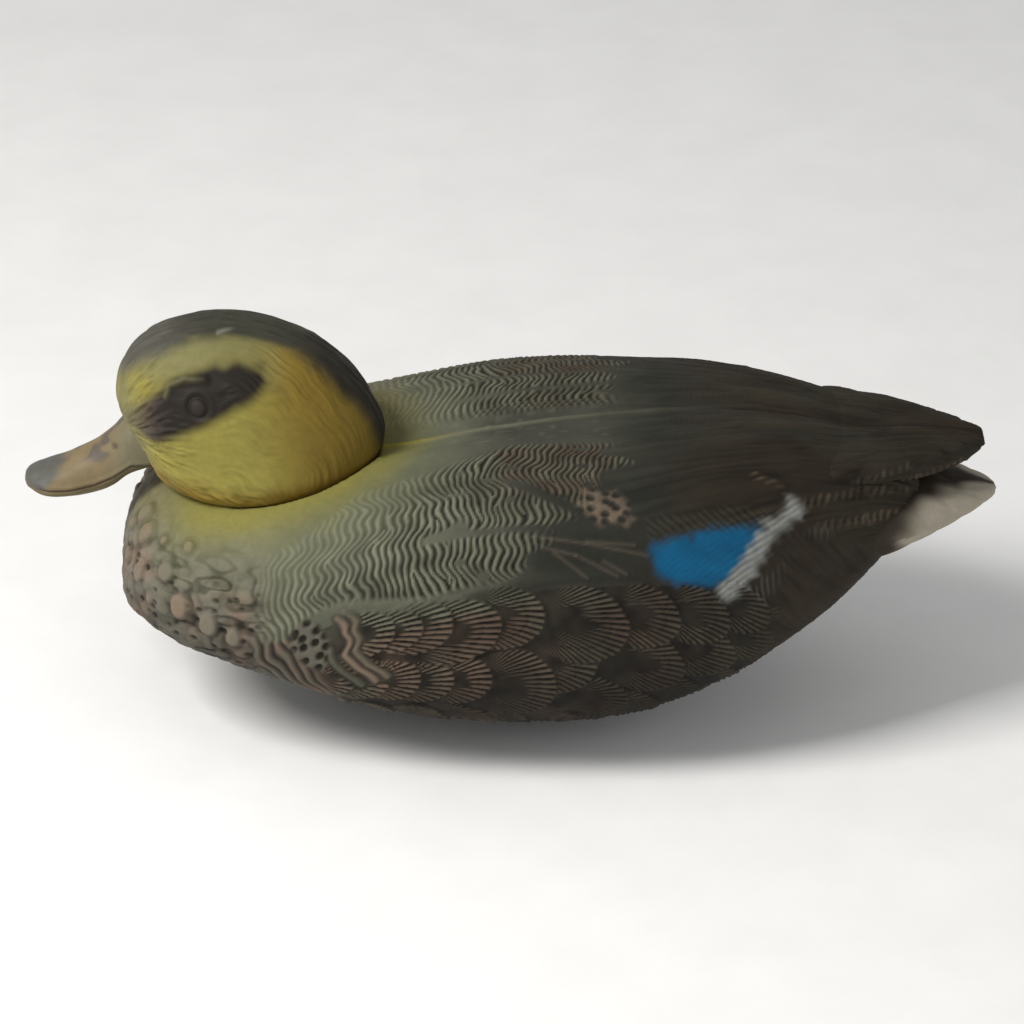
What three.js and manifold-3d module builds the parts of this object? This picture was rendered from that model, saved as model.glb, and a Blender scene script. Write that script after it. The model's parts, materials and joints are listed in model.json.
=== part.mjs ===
// Floating duck decoy: hollow two-half body, swivelling hollow head, ballast keel.
// Millimetres, +Z up. The bill points along -X, the tail along +X, the duck's left side is -Y.
// The origin is the centre of the keel's flat underside.
import * as THREE from 'three';
import { mergeVertices } from 'three/addons/utils/BufferGeometryUtils.js';
import Module from 'manifold-3d';

const wasm = await Module();
wasm.setup();

const GAP = 0.3; // air left between pieces that touch
const WALL = 3; // wall of the hollow mouldings
const ROUND = 24; // straight sides of a small round
const TURN_SIDES = 36; // straight sides of the swivel's rounds

// ---- hull lines -------------------------------------------------------------------------
// One entry per frame of the hull: place along the duck, half width, height of the back's
// shoulders, height of the underside, height of the widest line, squareness of the back,
// depth of the groove between the folded wings.
const HULL = [
  { x: -144.5, wide: 12, top: 60, low: 49, belt: 55, square: 2.1, groove: 0 },
  { x: -143, wide: 24, top: 70, low: 43, belt: 56, square: 2.2, groove: 0 },
  { x: -136, wide: 40, top: 83, low: 40.5, belt: 57, square: 2.3, groove: 0 },
  { x: -120, wide: 56, top: 94, low: 34.5, belt: 56, square: 2.3, groove: 0 },
  { x: -90, wide: 69, top: 101, low: 26, belt: 54, square: 2.7, groove: 3 },
  { x: -45, wide: 77, top: 107, low: 12, belt: 52, square: 3.5, groove: 6.5 },
  { x: 0, wide: 79, top: 115, low: 7, belt: 52, square: 3.7, groove: 6 },
  { x: 45, wide: 77, top: 116.5, low: 10.5, belt: 53, square: 3.7, groove: 2 },
  { x: 85, wide: 66, top: 117, low: 27, belt: 58, square: 3.4, groove: 1 },
  { x: 115, wide: 50, top: 113.3, low: 45, belt: 66, square: 3.2, groove: 1 },
  { x: 138, wide: 34, top: 107, low: 65, belt: 80, square: 2.8, groove: 2 },
  { x: 150, wide: 20, top: 103, low: 75, belt: 88, square: 2.4, groove: 1 },
];
const LOW_SQUARE = 2.5; // squareness of the underside
const GROOVE_SPREAD = 18; // width of the groove along the middle of the back
const HULL_STEPS = 26; // rings along the hull
const HULL_SIDES = 32; // points around the hull

// Folded wing tips that reach out over the tail.
const WING_TIPS = [
  { x: 98, wide: 34, top: 110, low: 95, belt: 103, square: 2.6, groove: 1 },
  { x: 118, wide: 37, top: 111.5, low: 94, belt: 103.5, square: 2.6, groove: 1 },
  { x: 134, wide: 32, top: 110.8, low: 94, belt: 104, square: 2.6, groove: 1.5 },
  { x: 150, wide: 24, top: 110, low: 94, belt: 103.5, square: 2.6, groove: 1 },
  { x: 165, wide: 14, top: 108, low: 96.5, belt: 102.5, square: 2.6, groove: 0.5 },
  { x: 173, wide: 7, top: 106, low: 100.5, belt: 103.5, square: 2.6, groove: 0 },
  { x: 175.5, wide: 2.5, top: 105, low: 102.3, belt: 103.7, square: 2.6, groove: 0 },
];
// Tail fan below the wing tips.
const TAIL_FAN = [
  { x: 112, wide: 42, top: 96, low: 58, belt: 77, square: 2.4, groove: 0 },
  { x: 135, wide: 37, top: 93, low: 66, belt: 78, square: 2.4, groove: 0 },
  { x: 150, wide: 30, top: 94.5, low: 72, belt: 79, square: 2.2, groove: 0 },
  { x: 165, wide: 20, top: 89, low: 77, belt: 81.5, square: 2.2, groove: 0 },
  { x: 176, wide: 9.5, top: 86, low: 80.5, belt: 83, square: 2.4, groove: 0 },
  { x: 180.4, wide: 2.5, top: 84.8, low: 82, belt: 83.3, square: 2.4, groove: 0 },
];

// ---- head and neck ----------------------------------------------------------------------
const NECK_X = -93.5; // swivel axis, vertical
const SEAT_R = 38; // radius of the head's foot
const SEAT_Z = 94; // underside of the head's foot
const DISH_Z = SEAT_Z - 0.4; // floor of the dish in the body
// One entry per level of the head: height, reach to the front, back and side of the axis.
const HEAD = [
  { z: SEAT_Z, front: SEAT_R, back: SEAT_R, side: SEAT_R },
  { z: 98, front: 40, back: 42.5, side: 41 },
  { z: 103, front: 42.5, back: 46, side: 42 },
  { z: 110, front: 46.5, back: 46.5, side: 40.5 },
  { z: 120, front: 51.2, back: 43, side: 37.5 },
  { z: 130, front: 50.7, back: 36.5, side: 33.5 },
  { z: 138, front: 47.9, back: 29, side: 28.5 },
  { z: 145, front: 41.5, back: 19, side: 21.5 },
  { z: 150, front: 32.3, back: 8, side: 14 },
  { z: 153, front: 21.5, back: -3, side: 7 },
  { z: 153.8, front: 13.5, back: -9, side: 2.5 },
];
// Bill, from its root inside the face to its tip.
const BILL = [
  { x: -128, wide: 12.5, top: 114, low: 96, belt: 102, square: 2.2, groove: 0 },
  { x: -140, wide: 12, top: 114.5, low: 92, belt: 99, square: 2.2, groove: 0 },
  { x: -147, wide: 11, top: 108, low: 86.8, belt: 93.6, square: 2.2, groove: 0 },
  { x: -154, wide: 10.5, top: 102.5, low: 83.9, belt: 89.6, square: 2.2, groove: 0 },
  { x: -164, wide: 11.5, top: 97, low: 82.7, belt: 87.1, square: 2.2, groove: 0 },
  { x: -172, wide: 11, top: 94, low: 82.8, belt: 86.5, square: 2.2, groove: 0 },
  { x: -178, wide: 7.5, top: 91.2, low: 85.2, belt: 87.6, square: 2.2, groove: 0 },
  { x: -180, wide: 3, top: 89.6, low: 87.2, belt: 88.2, square: 2.2, groove: 0 },
];
const EYE = { x: -113.5, y: 29, z: 131.5, r: 4 };

// Spigot, socket and their rings.
const SOCKET_BORE = 12.3;
const SOCKET_TUBE = 14.6;
const SOCKET_FLANGE = 20;
const SOCKET_TOP = DISH_Z + GAP + 2.5;
const SOCKET_LOW = 80;
const SPIGOT_R = 12;
const SPIGOT_BORE = 8.5;
const PLUG_LOW = SOCKET_TOP + GAP;
const PLUG_TOP = PLUG_LOW + 3.5;
const PLUG_R = 32;
const LEDGE = 3; // thickness of the ledge the plug is glued against
const SNAP_TOP = SOCKET_LOW - GAP;
const SNAP_THICK = 1.2;
const SPIGOT_LOW = SNAP_TOP - SNAP_THICK - 3;
const SEAL_Z = 88;
const SEAL_WIRE = 0.8;

// ---- keel, ballast, line ring, drain ---------------------------------------------------
const KEEL_HALF_LENGTH = 48;
const KEEL_HALF_WIDTH = 14;
const KEEL_FLOOR = 2.5;
const BALLAST = { length: 60, width: 22, height: 3.8 };
const SCREW_X = 39;
const SCREW_Y = 8;
const SCREW_SHANK = 1.75;
const SCREW_HEAD_R = 3.2;
const SCREW_HEAD_H = 1.5;
const SCREW_TOP = 21;
const LUG_HOLE_X = -55.5;
const LUG_HOLE_Z = 4;
const LUG_HOLE_R = 2.3;
const LUG_HALF = 2.5;
const RING_R = 6.5;
const RING_WIRE = 1.1;
const DRAIN = { x: 58, y: 24, seat: 19, hole: 4, flange: 7.5 };

// ---- materials --------------------------------------------------------------------------
function plainMaterial(color, roughness, metalness = 0) {
  return new THREE.MeshStandardMaterial({ color, roughness, metalness });
}
const MATERIALS = {
  bodyPlastic: () => plainMaterial(0x4b463c, 0.8),
  headPlastic: () => plainMaterial(0x8a7f3e, 0.8),
  whitePlastic: () => plainMaterial(0xc9c6bb, 0.6),
  keelPlastic: () => plainMaterial(0x35332c, 0.7),
  rubber: () => plainMaterial(0x1d1c1a, 0.9),
  steel: () => plainMaterial(0xb4b6b8, 0.35, 0.9),
  iron: () => plainMaterial(0x5a5a5c, 0.6, 0.8),
  brass: () => plainMaterial(0xb5964a, 0.4, 0.9),
};

// ---- solid helpers ----------------------------------------------------------------------
function solidFrom(geometry) {
  const bare = new THREE.BufferGeometry();
  bare.setAttribute('position', geometry.getAttribute('position').clone());
  if (geometry.index) bare.setIndex(geometry.index.clone());
  const welded = mergeVertices(bare, 1e-4);
  const vertProperties = new Float32Array(welded.getAttribute('position').array);
  const triVerts = new Uint32Array(welded.index.array);
  return new wasm.Manifold(new wasm.Mesh({ numProp: 3, vertProperties, triVerts }));
}

function meshFrom(name, solid, material) {
  const raw = solid.getMesh();
  const geometry = new THREE.BufferGeometry();
  const corners = new Float32Array(raw.numVert * 3);
  for (let i = 0; i < raw.numVert; i += 1) {
    for (let axis = 0; axis < 3; axis += 1) {
      corners[3 * i + axis] = raw.vertProperties[raw.numProp * i + axis];
    }
  }
  geometry.setAttribute('position', new THREE.BufferAttribute(corners, 3));
  geometry.setIndex(new THREE.BufferAttribute(new Uint32Array(raw.triVerts), 1));
  geometry.computeVertexNormals();
  const mesh = new THREE.Mesh(geometry, material());
  mesh.name = name;
  return mesh;
}

function moved(geometry, x, y, z) {
  return geometry.translate(x, y, z);
}

function block(x0, x1, y0, y1, z0, z1) {
  const box = new THREE.BoxGeometry(x1 - x0, y1 - y0, z1 - z0);
  return solidFrom(moved(box, (x0 + x1) / 2, (y0 + y1) / 2, (z0 + z1) / 2));
}

// Upright cylinder between two heights.
function post(x, y, z0, z1, radius, sides = ROUND) {
  const tube = new THREE.CylinderGeometry(radius, radius, z1 - z0, sides);
  tube.rotateX(Math.PI / 2);
  return solidFrom(moved(tube, x, y, (z0 + z1) / 2));
}

// Solid of revolution about an upright axis; the profile is a list of [radius, height].
function turned(profile, x, y, sides = ROUND) {
  const points = profile.map(([radius, height]) => new THREE.Vector2(radius, height));
  const lathe = new THREE.LatheGeometry(points, sides);
  lathe.rotateX(Math.PI / 2);
  return outward(solidFrom(moved(lathe, x, y, 0)), lathe);
}

// A solid whose faces point inwards has a negative volume; turn it the right way out.
function outward(solid, geometry) {
  if (solid.volume() > 0) return solid;
  const flipped = geometry.clone();
  const index = flipped.index.array;
  for (let i = 0; i < index.length; i += 3) {
    [index[i], index[i + 1]] = [index[i + 1], index[i]];
  }
  return solidFrom(flipped);
}

// Skin over a list of rings with equally many points, closed at both ends by a fan.
function loft(rings) {
  const count = rings[0].length;
  const corners = [];
  const index = [];
  rings.forEach((ring) => ring.forEach((point) => corners.push(point.x, point.y, point.z)));
  for (let r = 0; r + 1 < rings.length; r += 1) {
    for (let k = 0; k < count; k += 1) {
      const a = r * count + k;
      const b = r * count + ((k + 1) % count);
      index.push(a, b, b + count, a, b + count, a + count);
    }
  }
  [rings[0], rings[rings.length - 1]].forEach((ring, end) => {
    const centre = new THREE.Vector3();
    ring.forEach((point) => centre.addScaledVector(point, 1 / count));
    const hub = corners.length / 3;
    corners.push(centre.x, centre.y, centre.z);
    const start = end === 0 ? 0 : (rings.length - 1) * count;
    for (let k = 0; k < count; k += 1) {
      const a = start + k;
      const b = start + ((k + 1) % count);
      if (end === 0) index.push(hub, b, a);
      else index.push(hub, a, b);
    }
  });
  const geometry = new THREE.BufferGeometry();
  geometry.setAttribute('position', new THREE.BufferAttribute(new Float32Array(corners), 3));
  geometry.setIndex(index);
  return outward(solidFrom(geometry), geometry);
}

// Smooth curve through neighbouring entries of a list, read at a fractional position.
function between(list, place) {
  const i = Math.min(Math.floor(place), list.length - 2);
  const t = place - i;
  const at = (j) => list[Math.max(0, Math.min(list.length - 1, j))];
  const result = {};
  Object.keys(list[0]).forEach((key) => {
    const [p0, p1, p2, p3] = [at(i - 1)[key], at(i)[key], at(i + 1)[key], at(i + 2)[key]];
    const slope1 = (p2 - p0) / 2;
    const slope2 = (p3 - p1) / 2;
    const t2 = t * t;
    const t3 = t2 * t;
    result[key] = (2 * t3 - 3 * t2 + 1) * p1 + (t3 - 2 * t2 + t) * slope1
      + (3 * t2 - 2 * t3) * p2 + (t3 - t2) * slope2;
  });
  return result;
}

function signedPower(value, power) {
  return Math.sign(value) * Math.abs(value) ** power;
}

// Rounded ring across the duck for one frame.
function frameRing(frame, sides, lowSquare) {
  const ring = [];
  for (let k = 0; k < sides; k += 1) {
    const angle = (2 * Math.PI * k) / sides;
    const upper = Math.sin(angle) > 0;
    const square = upper ? frame.square : lowSquare;
    const rise = upper ? frame.top - frame.belt : frame.belt - frame.low;
    const y = frame.wide * signedPower(Math.cos(angle), 2 / square);
    let z = frame.belt + rise * signedPower(Math.sin(angle), 2 / square);
    if (upper) z -= frame.groove * Math.sin(angle) * Math.exp(-((y / GROOVE_SPREAD) ** 2));
    ring.push(new THREE.Vector3(frame.x, y, z));
  }
  return ring;
}

function frameLoft(frames, steps, sides, lowSquare) {
  const rings = [];
  for (let i = 0; i <= steps; i += 1) {
    const frame = between(frames, (i / steps) * (frames.length - 1));
    rings.push(frameRing(frame, sides, lowSquare));
  }
  return loft(rings);
}

// ---- body -------------------------------------------------------------------------------
function shrunkFrames(frames, wall) {
  const first = frames[0].x;
  const last = frames[frames.length - 1].x;
  return frames.slice(1, -1).map((frame) => ({
    x: Math.max(first + 2.4 * wall, Math.min(last - 3 * wall, frame.x)),
    wide: frame.wide - wall,
    top: frame.top - wall,
    low: frame.low + wall,
    belt: frame.belt,
    square: frame.square,
    groove: frame.groove,
  }));
}

// Everything above this bowl belongs to the head; the body stays below it.
function bowl(drop) {
  return turned([
    [0, DISH_Z - drop],
    [SEAT_R + 0.7 + drop, DISH_Z - drop],
    [SEAT_R + 4.6 + drop, DISH_Z + 3.2 - drop],
    [SEAT_R + 8.4 + drop, DISH_Z + 7.6 - drop],
    [SEAT_R + 10.5 + drop, DISH_Z + 13],
    [SEAT_R + 13 + drop, DISH_Z + 22],
    [SEAT_R + 13 + drop, DISH_Z + 80],
    [0, DISH_Z + 80],
  ], NECK_X, 0, TURN_SIDES);
}

function bodyOutside() {
  const hull = frameLoft(HULL, HULL_STEPS, HULL_SIDES, LOW_SQUARE);
  const tips = frameLoft(WING_TIPS, 10, 20, LOW_SQUARE);
  const fan = frameLoft(TAIL_FAN, 10, 20, LOW_SQUARE);
  return hull.add(tips).add(fan);
}

function keelScrewPlaces() {
  const places = [];
  [-SCREW_X, SCREW_X].forEach((x) => [-SCREW_Y, SCREW_Y].forEach((y) => places.push({ x, y })));
  return places;
}

function bodyWhole() {
  const outside = bodyOutside();
  let hollow = frameLoft(shrunkFrames(HULL, WALL), 14, 20, LOW_SQUARE);
  hollow = hollow.subtract(bowl(WALL));
  hollow = hollow.subtract(post(NECK_X, 0, SOCKET_LOW + 2, DISH_Z, SOCKET_TUBE + GAP + WALL));
  keelScrewPlaces().forEach(({ x, y }) => {
    hollow = hollow.subtract(post(x, y, 0, SCREW_TOP + 2.5, 5.5));
  });
  hollow = hollow.subtract(post(DRAIN.x, DRAIN.y, 0, DRAIN.seat + 4.5, DRAIN.flange + 2));
  let body = outside.subtract(hollow).subtract(bowl(0));
  body = body.subtract(post(NECK_X, 0, SOCKET_LOW - 5, DISH_Z + 5, SOCKET_TUBE + GAP));
  keelScrewPlaces().forEach(({ x, y }) => {
    body = body.subtract(post(x, y, 0, SCREW_TOP + GAP, SCREW_SHANK + GAP, 16));
  });
  body = body.subtract(post(DRAIN.x, DRAIN.y, 0, DRAIN.seat, DRAIN.flange + GAP));
  body = body.subtract(post(DRAIN.x, DRAIN.y, 0, DRAIN.seat + 10, DRAIN.hole + GAP, 24));
  return body;
}

function bodyHalf(whole, side) {
  const near = side * (GAP / 2);
  const far = side * 200;
  return whole.intersect(block(-300, 300, Math.min(near, far), Math.max(near, far), -50, 300));
}

// ---- head -------------------------------------------------------------------------------
function levelRing(level, sides) {
  const ring = [];
  for (let k = 0; k < sides; k += 1) {
    const angle = (2 * Math.PI * k) / sides;
    const along = Math.cos(angle);
    const middle = (level.back - level.front) / 2;
    const reach = (level.back + level.front) / 2;
    ring.push(new THREE.Vector3(
      NECK_X + middle + reach * along,
      level.side * Math.sin(angle),
      level.z,
    ));
  }
  return ring;
}

function headLoft(levels, steps, sides) {
  const rings = [];
  for (let i = 0; i <= steps; i += 1) {
    rings.push(levelRing(between(levels, (i / steps) * (levels.length - 1)), sides));
  }
  return loft(rings);
}

function headHollow() {
  const levels = HEAD.slice(0, -1).map((level) => ({
    z: level.z - WALL,
    front: level.front - WALL - 1,
    back: level.back - WALL - 1,
    side: level.side - WALL - 1,
  }));
  const hollow = headLoft(levels, 9, 18);
  return hollow.subtract(block(-300, 0, -100, 100, 0, PLUG_TOP + LEDGE));
}

function eyeDome(side) {
  const dome = new THREE.SphereGeometry(EYE.r, 14, 8);
  dome.scale(1, 0.75, 1);
  return solidFrom(moved(dome, EYE.x, side * EYE.y, EYE.z));
}

function headShell() {
  let head = headLoft(HEAD, 20, 32);
  head = head.add(frameLoft(BILL, 14, 20, 2.2));
  head = head.add(eyeDome(-1)).add(eyeDome(1));
  head = head.subtract(headHollow());
  // Mouth for the neck plug, with a ledge above it.
  head = head.subtract(post(NECK_X, 0, SEAT_Z - 5, PLUG_TOP + GAP, PLUG_R + GAP, TURN_SIDES));
  return head.subtract(post(NECK_X, 0, PLUG_TOP, PLUG_TOP + LEDGE + 1, PLUG_R - 3, TURN_SIDES));
}

// ---- swivel -----------------------------------------------------------------------------
function neckPlug() {
  const groove = SEAL_WIRE + GAP;
  const sealRoot = SOCKET_BORE - 2 * SEAL_WIRE - 2 * GAP;
  const snapRoot = SPIGOT_R - 1.6;
  return turned([
    [0, PLUG_TOP],
    [PLUG_R, PLUG_TOP],
    [PLUG_R, PLUG_LOW],
    [SPIGOT_R, PLUG_LOW],
    [SPIGOT_R, SEAL_Z + groove],
    [sealRoot, SEAL_Z + groove],
    [sealRoot, SEAL_Z - groove],
    [SPIGOT_R, SEAL_Z - groove],
    [SPIGOT_R, SNAP_TOP + GAP],
    [snapRoot, SNAP_TOP + GAP],
    [snapRoot, SNAP_TOP - SNAP_THICK - GAP],
    [SPIGOT_R, SNAP_TOP - SNAP_THICK - GAP],
    [SPIGOT_R, SPIGOT_LOW],
    [SPIGOT_BORE, SPIGOT_LOW],
    [SPIGOT_BORE, PLUG_LOW],
    [0, PLUG_LOW],
  ], NECK_X, 0, TURN_SIDES);
}

function neckSocket() {
  return turned([
    [SOCKET_BORE, SOCKET_TOP],
    [SOCKET_FLANGE, SOCKET_TOP],
    [SOCKET_FLANGE, DISH_Z + GAP],
    [SOCKET_TUBE, DISH_Z + GAP],
    [SOCKET_TUBE, SOCKET_LOW],
    [SOCKET_BORE, SOCKET_LOW],
    [SOCKET_BORE, SOCKET_TOP],
  ], NECK_X, 0, TURN_SIDES);
}

function neckSeal() {
  const ring = new THREE.TorusGeometry(SOCKET_BORE - SEAL_WIRE - GAP, SEAL_WIRE, 8, 32);
  return solidFrom(moved(ring, NECK_X, 0, SEAL_Z));
}

function neckSnapRing() {
  const inner = SPIGOT_R - 1.6 + GAP;
  const ring = turned([
    [inner, SNAP_TOP],
    [SOCKET_TUBE + 0.4, SNAP_TOP],
    [SOCKET_TUBE + 0.4, SNAP_TOP - SNAP_THICK],
    [inner, SNAP_TOP - SNAP_THICK],
    [inner, SNAP_TOP],
  ], NECK_X, 0, TURN_SIDES);
  const mouth = block(NECK_X, NECK_X + 30, -5, 5, SPIGOT_LOW, SOCKET_LOW + 5);
  return ring.subtract(mouth);
}

// ---- keel -------------------------------------------------------------------------------
function stadium(halfLength, halfWidth, z0, z1) {
  const shape = new THREE.Shape();
  const straight = halfLength - halfWidth;
  shape.moveTo(-straight, -halfWidth);
  shape.lineTo(straight, -halfWidth);
  shape.absarc(straight, 0, halfWidth, -Math.PI / 2, Math.PI / 2, false);
  shape.lineTo(-straight, halfWidth);
  shape.absarc(-straight, 0, halfWidth, Math.PI / 2, (3 * Math.PI) / 2, false);
  const slab = new THREE.ExtrudeGeometry(shape, {
    depth: z1 - z0, bevelEnabled: false, curveSegments: 12,
  });
  return solidFrom(moved(slab, 0, 0, z0));
}

// The hull's outside grown by the gap, so the keel's top follows it.
function hullNegative() {
  const grown = HULL.map((frame) => ({ ...frame, wide: frame.wide + GAP, low: frame.low - GAP }));
  return frameLoft(grown, HULL_STEPS, HULL_SIDES, LOW_SQUARE);
}

function sidewaysPost(x, z, y0, y1, radius, sides = 24) {
  const tube = new THREE.CylinderGeometry(radius, radius, y1 - y0, sides);
  return solidFrom(moved(tube, x, (y0 + y1) / 2, z));
}

function keelTray() {
  let tray = stadium(KEEL_HALF_LENGTH, KEEL_HALF_WIDTH, 0, 16);
  const pocketLength = BALLAST.length / 2 + 2;
  const pocket = block(-pocketLength, pocketLength, -KEEL_HALF_WIDTH + 2.5, KEEL_HALF_WIDTH - 2.5,
    KEEL_FLOOR, 20);
  tray = tray.subtract(pocket);
  const lugTip = LUG_HOLE_X - LUG_HOLE_R - 2;
  tray = tray.add(block(lugTip, -KEEL_HALF_LENGTH + 4, -LUG_HALF, LUG_HALF, 0, 8));
  tray = tray.subtract(sidewaysPost(LUG_HOLE_X - 0.35, LUG_HOLE_Z, -10, 10, LUG_HOLE_R));
  keelScrewPlaces().forEach(({ x, y }) => {
    tray = tray.subtract(post(x, y, -1, 20, SCREW_SHANK + GAP, 16));
    tray = tray.subtract(post(x, y, -1, SCREW_HEAD_H + 0.7, SCREW_HEAD_R + GAP, 24));
  });
  return tray.subtract(hullNegative());
}

function ballastBar() {
  const low = KEEL_FLOOR + GAP;
  const half = BALLAST.length / 2;
  return block(-half, half, -BALLAST.width / 2, BALLAST.width / 2, low, low + BALLAST.height);
}

function keelScrew(x, y) {
  const low = 0.4;
  let screw = turned([
    [0, low],
    [SCREW_HEAD_R, low],
    [SCREW_HEAD_R, low + SCREW_HEAD_H],
    [SCREW_SHANK, low + SCREW_HEAD_H],
    [SCREW_SHANK, SCREW_TOP - 2],
    [0, SCREW_TOP],
  ], x, y, 24);
  screw = screw.subtract(block(x - 2.4, x + 2.4, y - 0.4, y + 0.4, 0, low + 0.8));
  return screw.subtract(block(x - 0.4, x + 0.4, y - 2.4, y + 2.4, 0, low + 0.8));
}

function anchorRing() {
  const ring = new THREE.TorusGeometry(RING_R, RING_WIRE, 8, 28);
  return solidFrom(moved(ring, LUG_HOLE_X - RING_R, 0, LUG_HOLE_Z));
}

function drainPlug() {
  const seat = DRAIN.seat - GAP;
  return turned([
    [0, seat - 2.4],
    [DRAIN.flange - 1, seat - 2.4],
    [DRAIN.flange, seat - 1.4],
    [DRAIN.flange, seat],
    [DRAIN.hole, seat],
    [DRAIN.hole, seat + 6],
    [DRAIN.hole - 1, seat + 8.5],
    [0, seat + 8.5],
  ], DRAIN.x, DRAIN.y, 32);
}

// ---- assembly ---------------------------------------------------------------------------
function decoy() {
  const group = new THREE.Group();
  group.name = 'duck_decoy';
  const whole = bodyWhole();
  const add = (name, solid, material) => group.add(meshFrom(name, solid, material));
  add('body_left_shell', bodyHalf(whole, -1), MATERIALS.bodyPlastic);
  add('body_right_shell', bodyHalf(whole, 1), MATERIALS.bodyPlastic);
  add('head_shell', headShell(), MATERIALS.headPlastic);
  add('neck_plug', neckPlug(), MATERIALS.whitePlastic);
  add('neck_socket', neckSocket(), MATERIALS.whitePlastic);
  add('neck_seal', neckSeal(), MATERIALS.rubber);
  add('neck_snap_ring', neckSnapRing(), MATERIALS.steel);
  add('keel_tray', keelTray(), MATERIALS.keelPlastic);
  add('ballast_bar', ballastBar(), MATERIALS.iron);
  keelScrewPlaces().forEach(({ x, y }, i) => {
    add(`keel_screw_${i + 1}`, keelScrew(x, y), MATERIALS.steel);
  });
  add('anchor_ring', anchorRing(), MATERIALS.brass);
  add('drain_plug', drainPlug(), MATERIALS.rubber);
  return group;
}

export default decoy();
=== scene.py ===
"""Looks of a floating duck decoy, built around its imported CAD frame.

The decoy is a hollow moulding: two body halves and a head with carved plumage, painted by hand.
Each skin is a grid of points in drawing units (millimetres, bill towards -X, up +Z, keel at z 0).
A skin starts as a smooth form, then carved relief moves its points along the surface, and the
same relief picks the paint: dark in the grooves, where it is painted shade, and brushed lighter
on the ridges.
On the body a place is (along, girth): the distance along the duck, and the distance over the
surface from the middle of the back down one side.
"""
import itertools
import json
import math

import bpy
import numpy as np
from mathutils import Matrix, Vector


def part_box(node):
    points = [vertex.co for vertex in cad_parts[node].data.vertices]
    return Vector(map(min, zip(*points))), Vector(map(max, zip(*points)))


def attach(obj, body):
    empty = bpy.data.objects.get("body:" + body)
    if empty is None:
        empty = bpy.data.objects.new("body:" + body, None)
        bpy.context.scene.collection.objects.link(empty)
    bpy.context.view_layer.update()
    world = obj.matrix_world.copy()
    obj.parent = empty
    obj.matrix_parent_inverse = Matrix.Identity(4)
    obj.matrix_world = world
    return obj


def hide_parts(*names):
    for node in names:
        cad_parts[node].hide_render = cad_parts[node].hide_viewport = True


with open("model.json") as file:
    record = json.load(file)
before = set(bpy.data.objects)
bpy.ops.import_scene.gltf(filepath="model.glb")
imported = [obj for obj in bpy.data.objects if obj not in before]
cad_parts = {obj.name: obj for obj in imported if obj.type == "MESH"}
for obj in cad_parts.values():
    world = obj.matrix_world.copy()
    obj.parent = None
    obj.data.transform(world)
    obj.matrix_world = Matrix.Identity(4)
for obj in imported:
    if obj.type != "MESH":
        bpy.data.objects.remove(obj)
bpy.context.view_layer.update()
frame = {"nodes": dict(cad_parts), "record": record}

# ---- drawing units, tied to the frame ----
BREAST_X = -144.5
BODY_END = 180.4
SHELL_LOW, SHELL_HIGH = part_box("body_left_shell")
UNIT = (SHELL_HIGH.x - SHELL_LOW.x) / (BODY_END - BREAST_X)
ORIGIN = np.array([SHELL_LOW.x - BREAST_X * UNIT, 0.0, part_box("keel_tray")[0].z])

# Smooth form of the hull: along, half width, top of the shoulders, underside, widest height,
# squareness of the back, depth of the groove between the folded wings.
HULL = [
    (-144.5, 12, 60, 49, 55, 2.1, 0),
    (-143, 24, 70, 43, 56, 2.2, 0),
    (-136, 40, 83, 40.5, 57, 2.3, 0),
    (-120, 56, 94, 34.5, 56, 2.3, 0),
    (-90, 69, 101, 26, 54, 2.7, 3),
    (-45, 77, 107, 12, 52, 3.5, 6.5),
    (0, 79, 115, 7, 52, 3.7, 6),
    (45, 77, 116.5, 10.5, 53, 3.7, 2),
    (85, 66, 117, 27, 58, 3.4, 1),
    (115, 50, 113.3, 45, 66, 3.2, 1),
    (138, 34, 107, 65, 80, 2.8, 2),
    (150, 20, 103, 75, 88, 2.4, 1),
]
WING_TIPS = [
    (98, 34, 110, 95, 103, 2.6, 1),
    (118, 37, 111.5, 94, 103.5, 2.6, 1),
    (134, 32, 110.8, 94, 104, 2.6, 1.5),
    (150, 24, 110, 94, 103.5, 2.6, 1),
    (165, 14, 108, 96.5, 102.5, 2.6, 0.5),
    (173, 7, 106, 100.5, 103.5, 2.6, 0),
    (175.5, 2.5, 105, 102.3, 103.7, 2.6, 0),
]
TAIL_FAN = [
    (112, 42, 96, 58, 77, 2.4, 0),
    (135, 37, 93, 66, 78, 2.4, 0),
    (150, 30, 94.5, 72, 79, 2.2, 0),
    (165, 20, 89, 77, 81.5, 2.2, 0),
    (176, 9.5, 86, 80.5, 83, 2.4, 0),
    (180.4, 2.5, 84.8, 82, 83.3, 2.4, 0),
]
LOW_SQUARE = 2.5
GROOVE_SPREAD = 18.0

# Head: height, reach to the front, back and side of the swivel axis.
NECK_X = -93.5
HEAD = [
    (94, 38.2, 38.2, 38.2),
    (95.6, 39.3, 40.6, 40.2),
    (98, 40, 42.8, 41.8),
    (103, 42.5, 46, 42.5),
    (110, 46.5, 46.5, 40.5),
    (120, 51.2, 43, 37.5),
    (130, 50.7, 36.5, 33.5),
    (138, 47.9, 29, 28.5),
    (145, 41.5, 19, 21.5),
    (150, 32.3, 8, 14),
    (153, 21.5, -3, 7),
    (153.8, 13.5, -9, 2.5),
]
BILL = [
    (-128, 12.5, 114, 96, 102, 2.2, 0),
    (-140, 12, 114.5, 92, 99, 2.2, 0),
    (-147, 11, 108, 86.8, 93.6, 2.2, 0),
    (-154, 10.5, 102.5, 83.9, 89.6, 2.2, 0),
    (-164, 11.5, 97, 82.7, 87.1, 2.2, 0),
    (-172, 11, 94, 82.8, 86.5, 2.2, 0),
    (-178, 7.5, 91.2, 85.2, 87.6, 2.2, 0),
    (-180, 3, 89.6, 87.2, 88.2, 2.2, 0),
]
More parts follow.
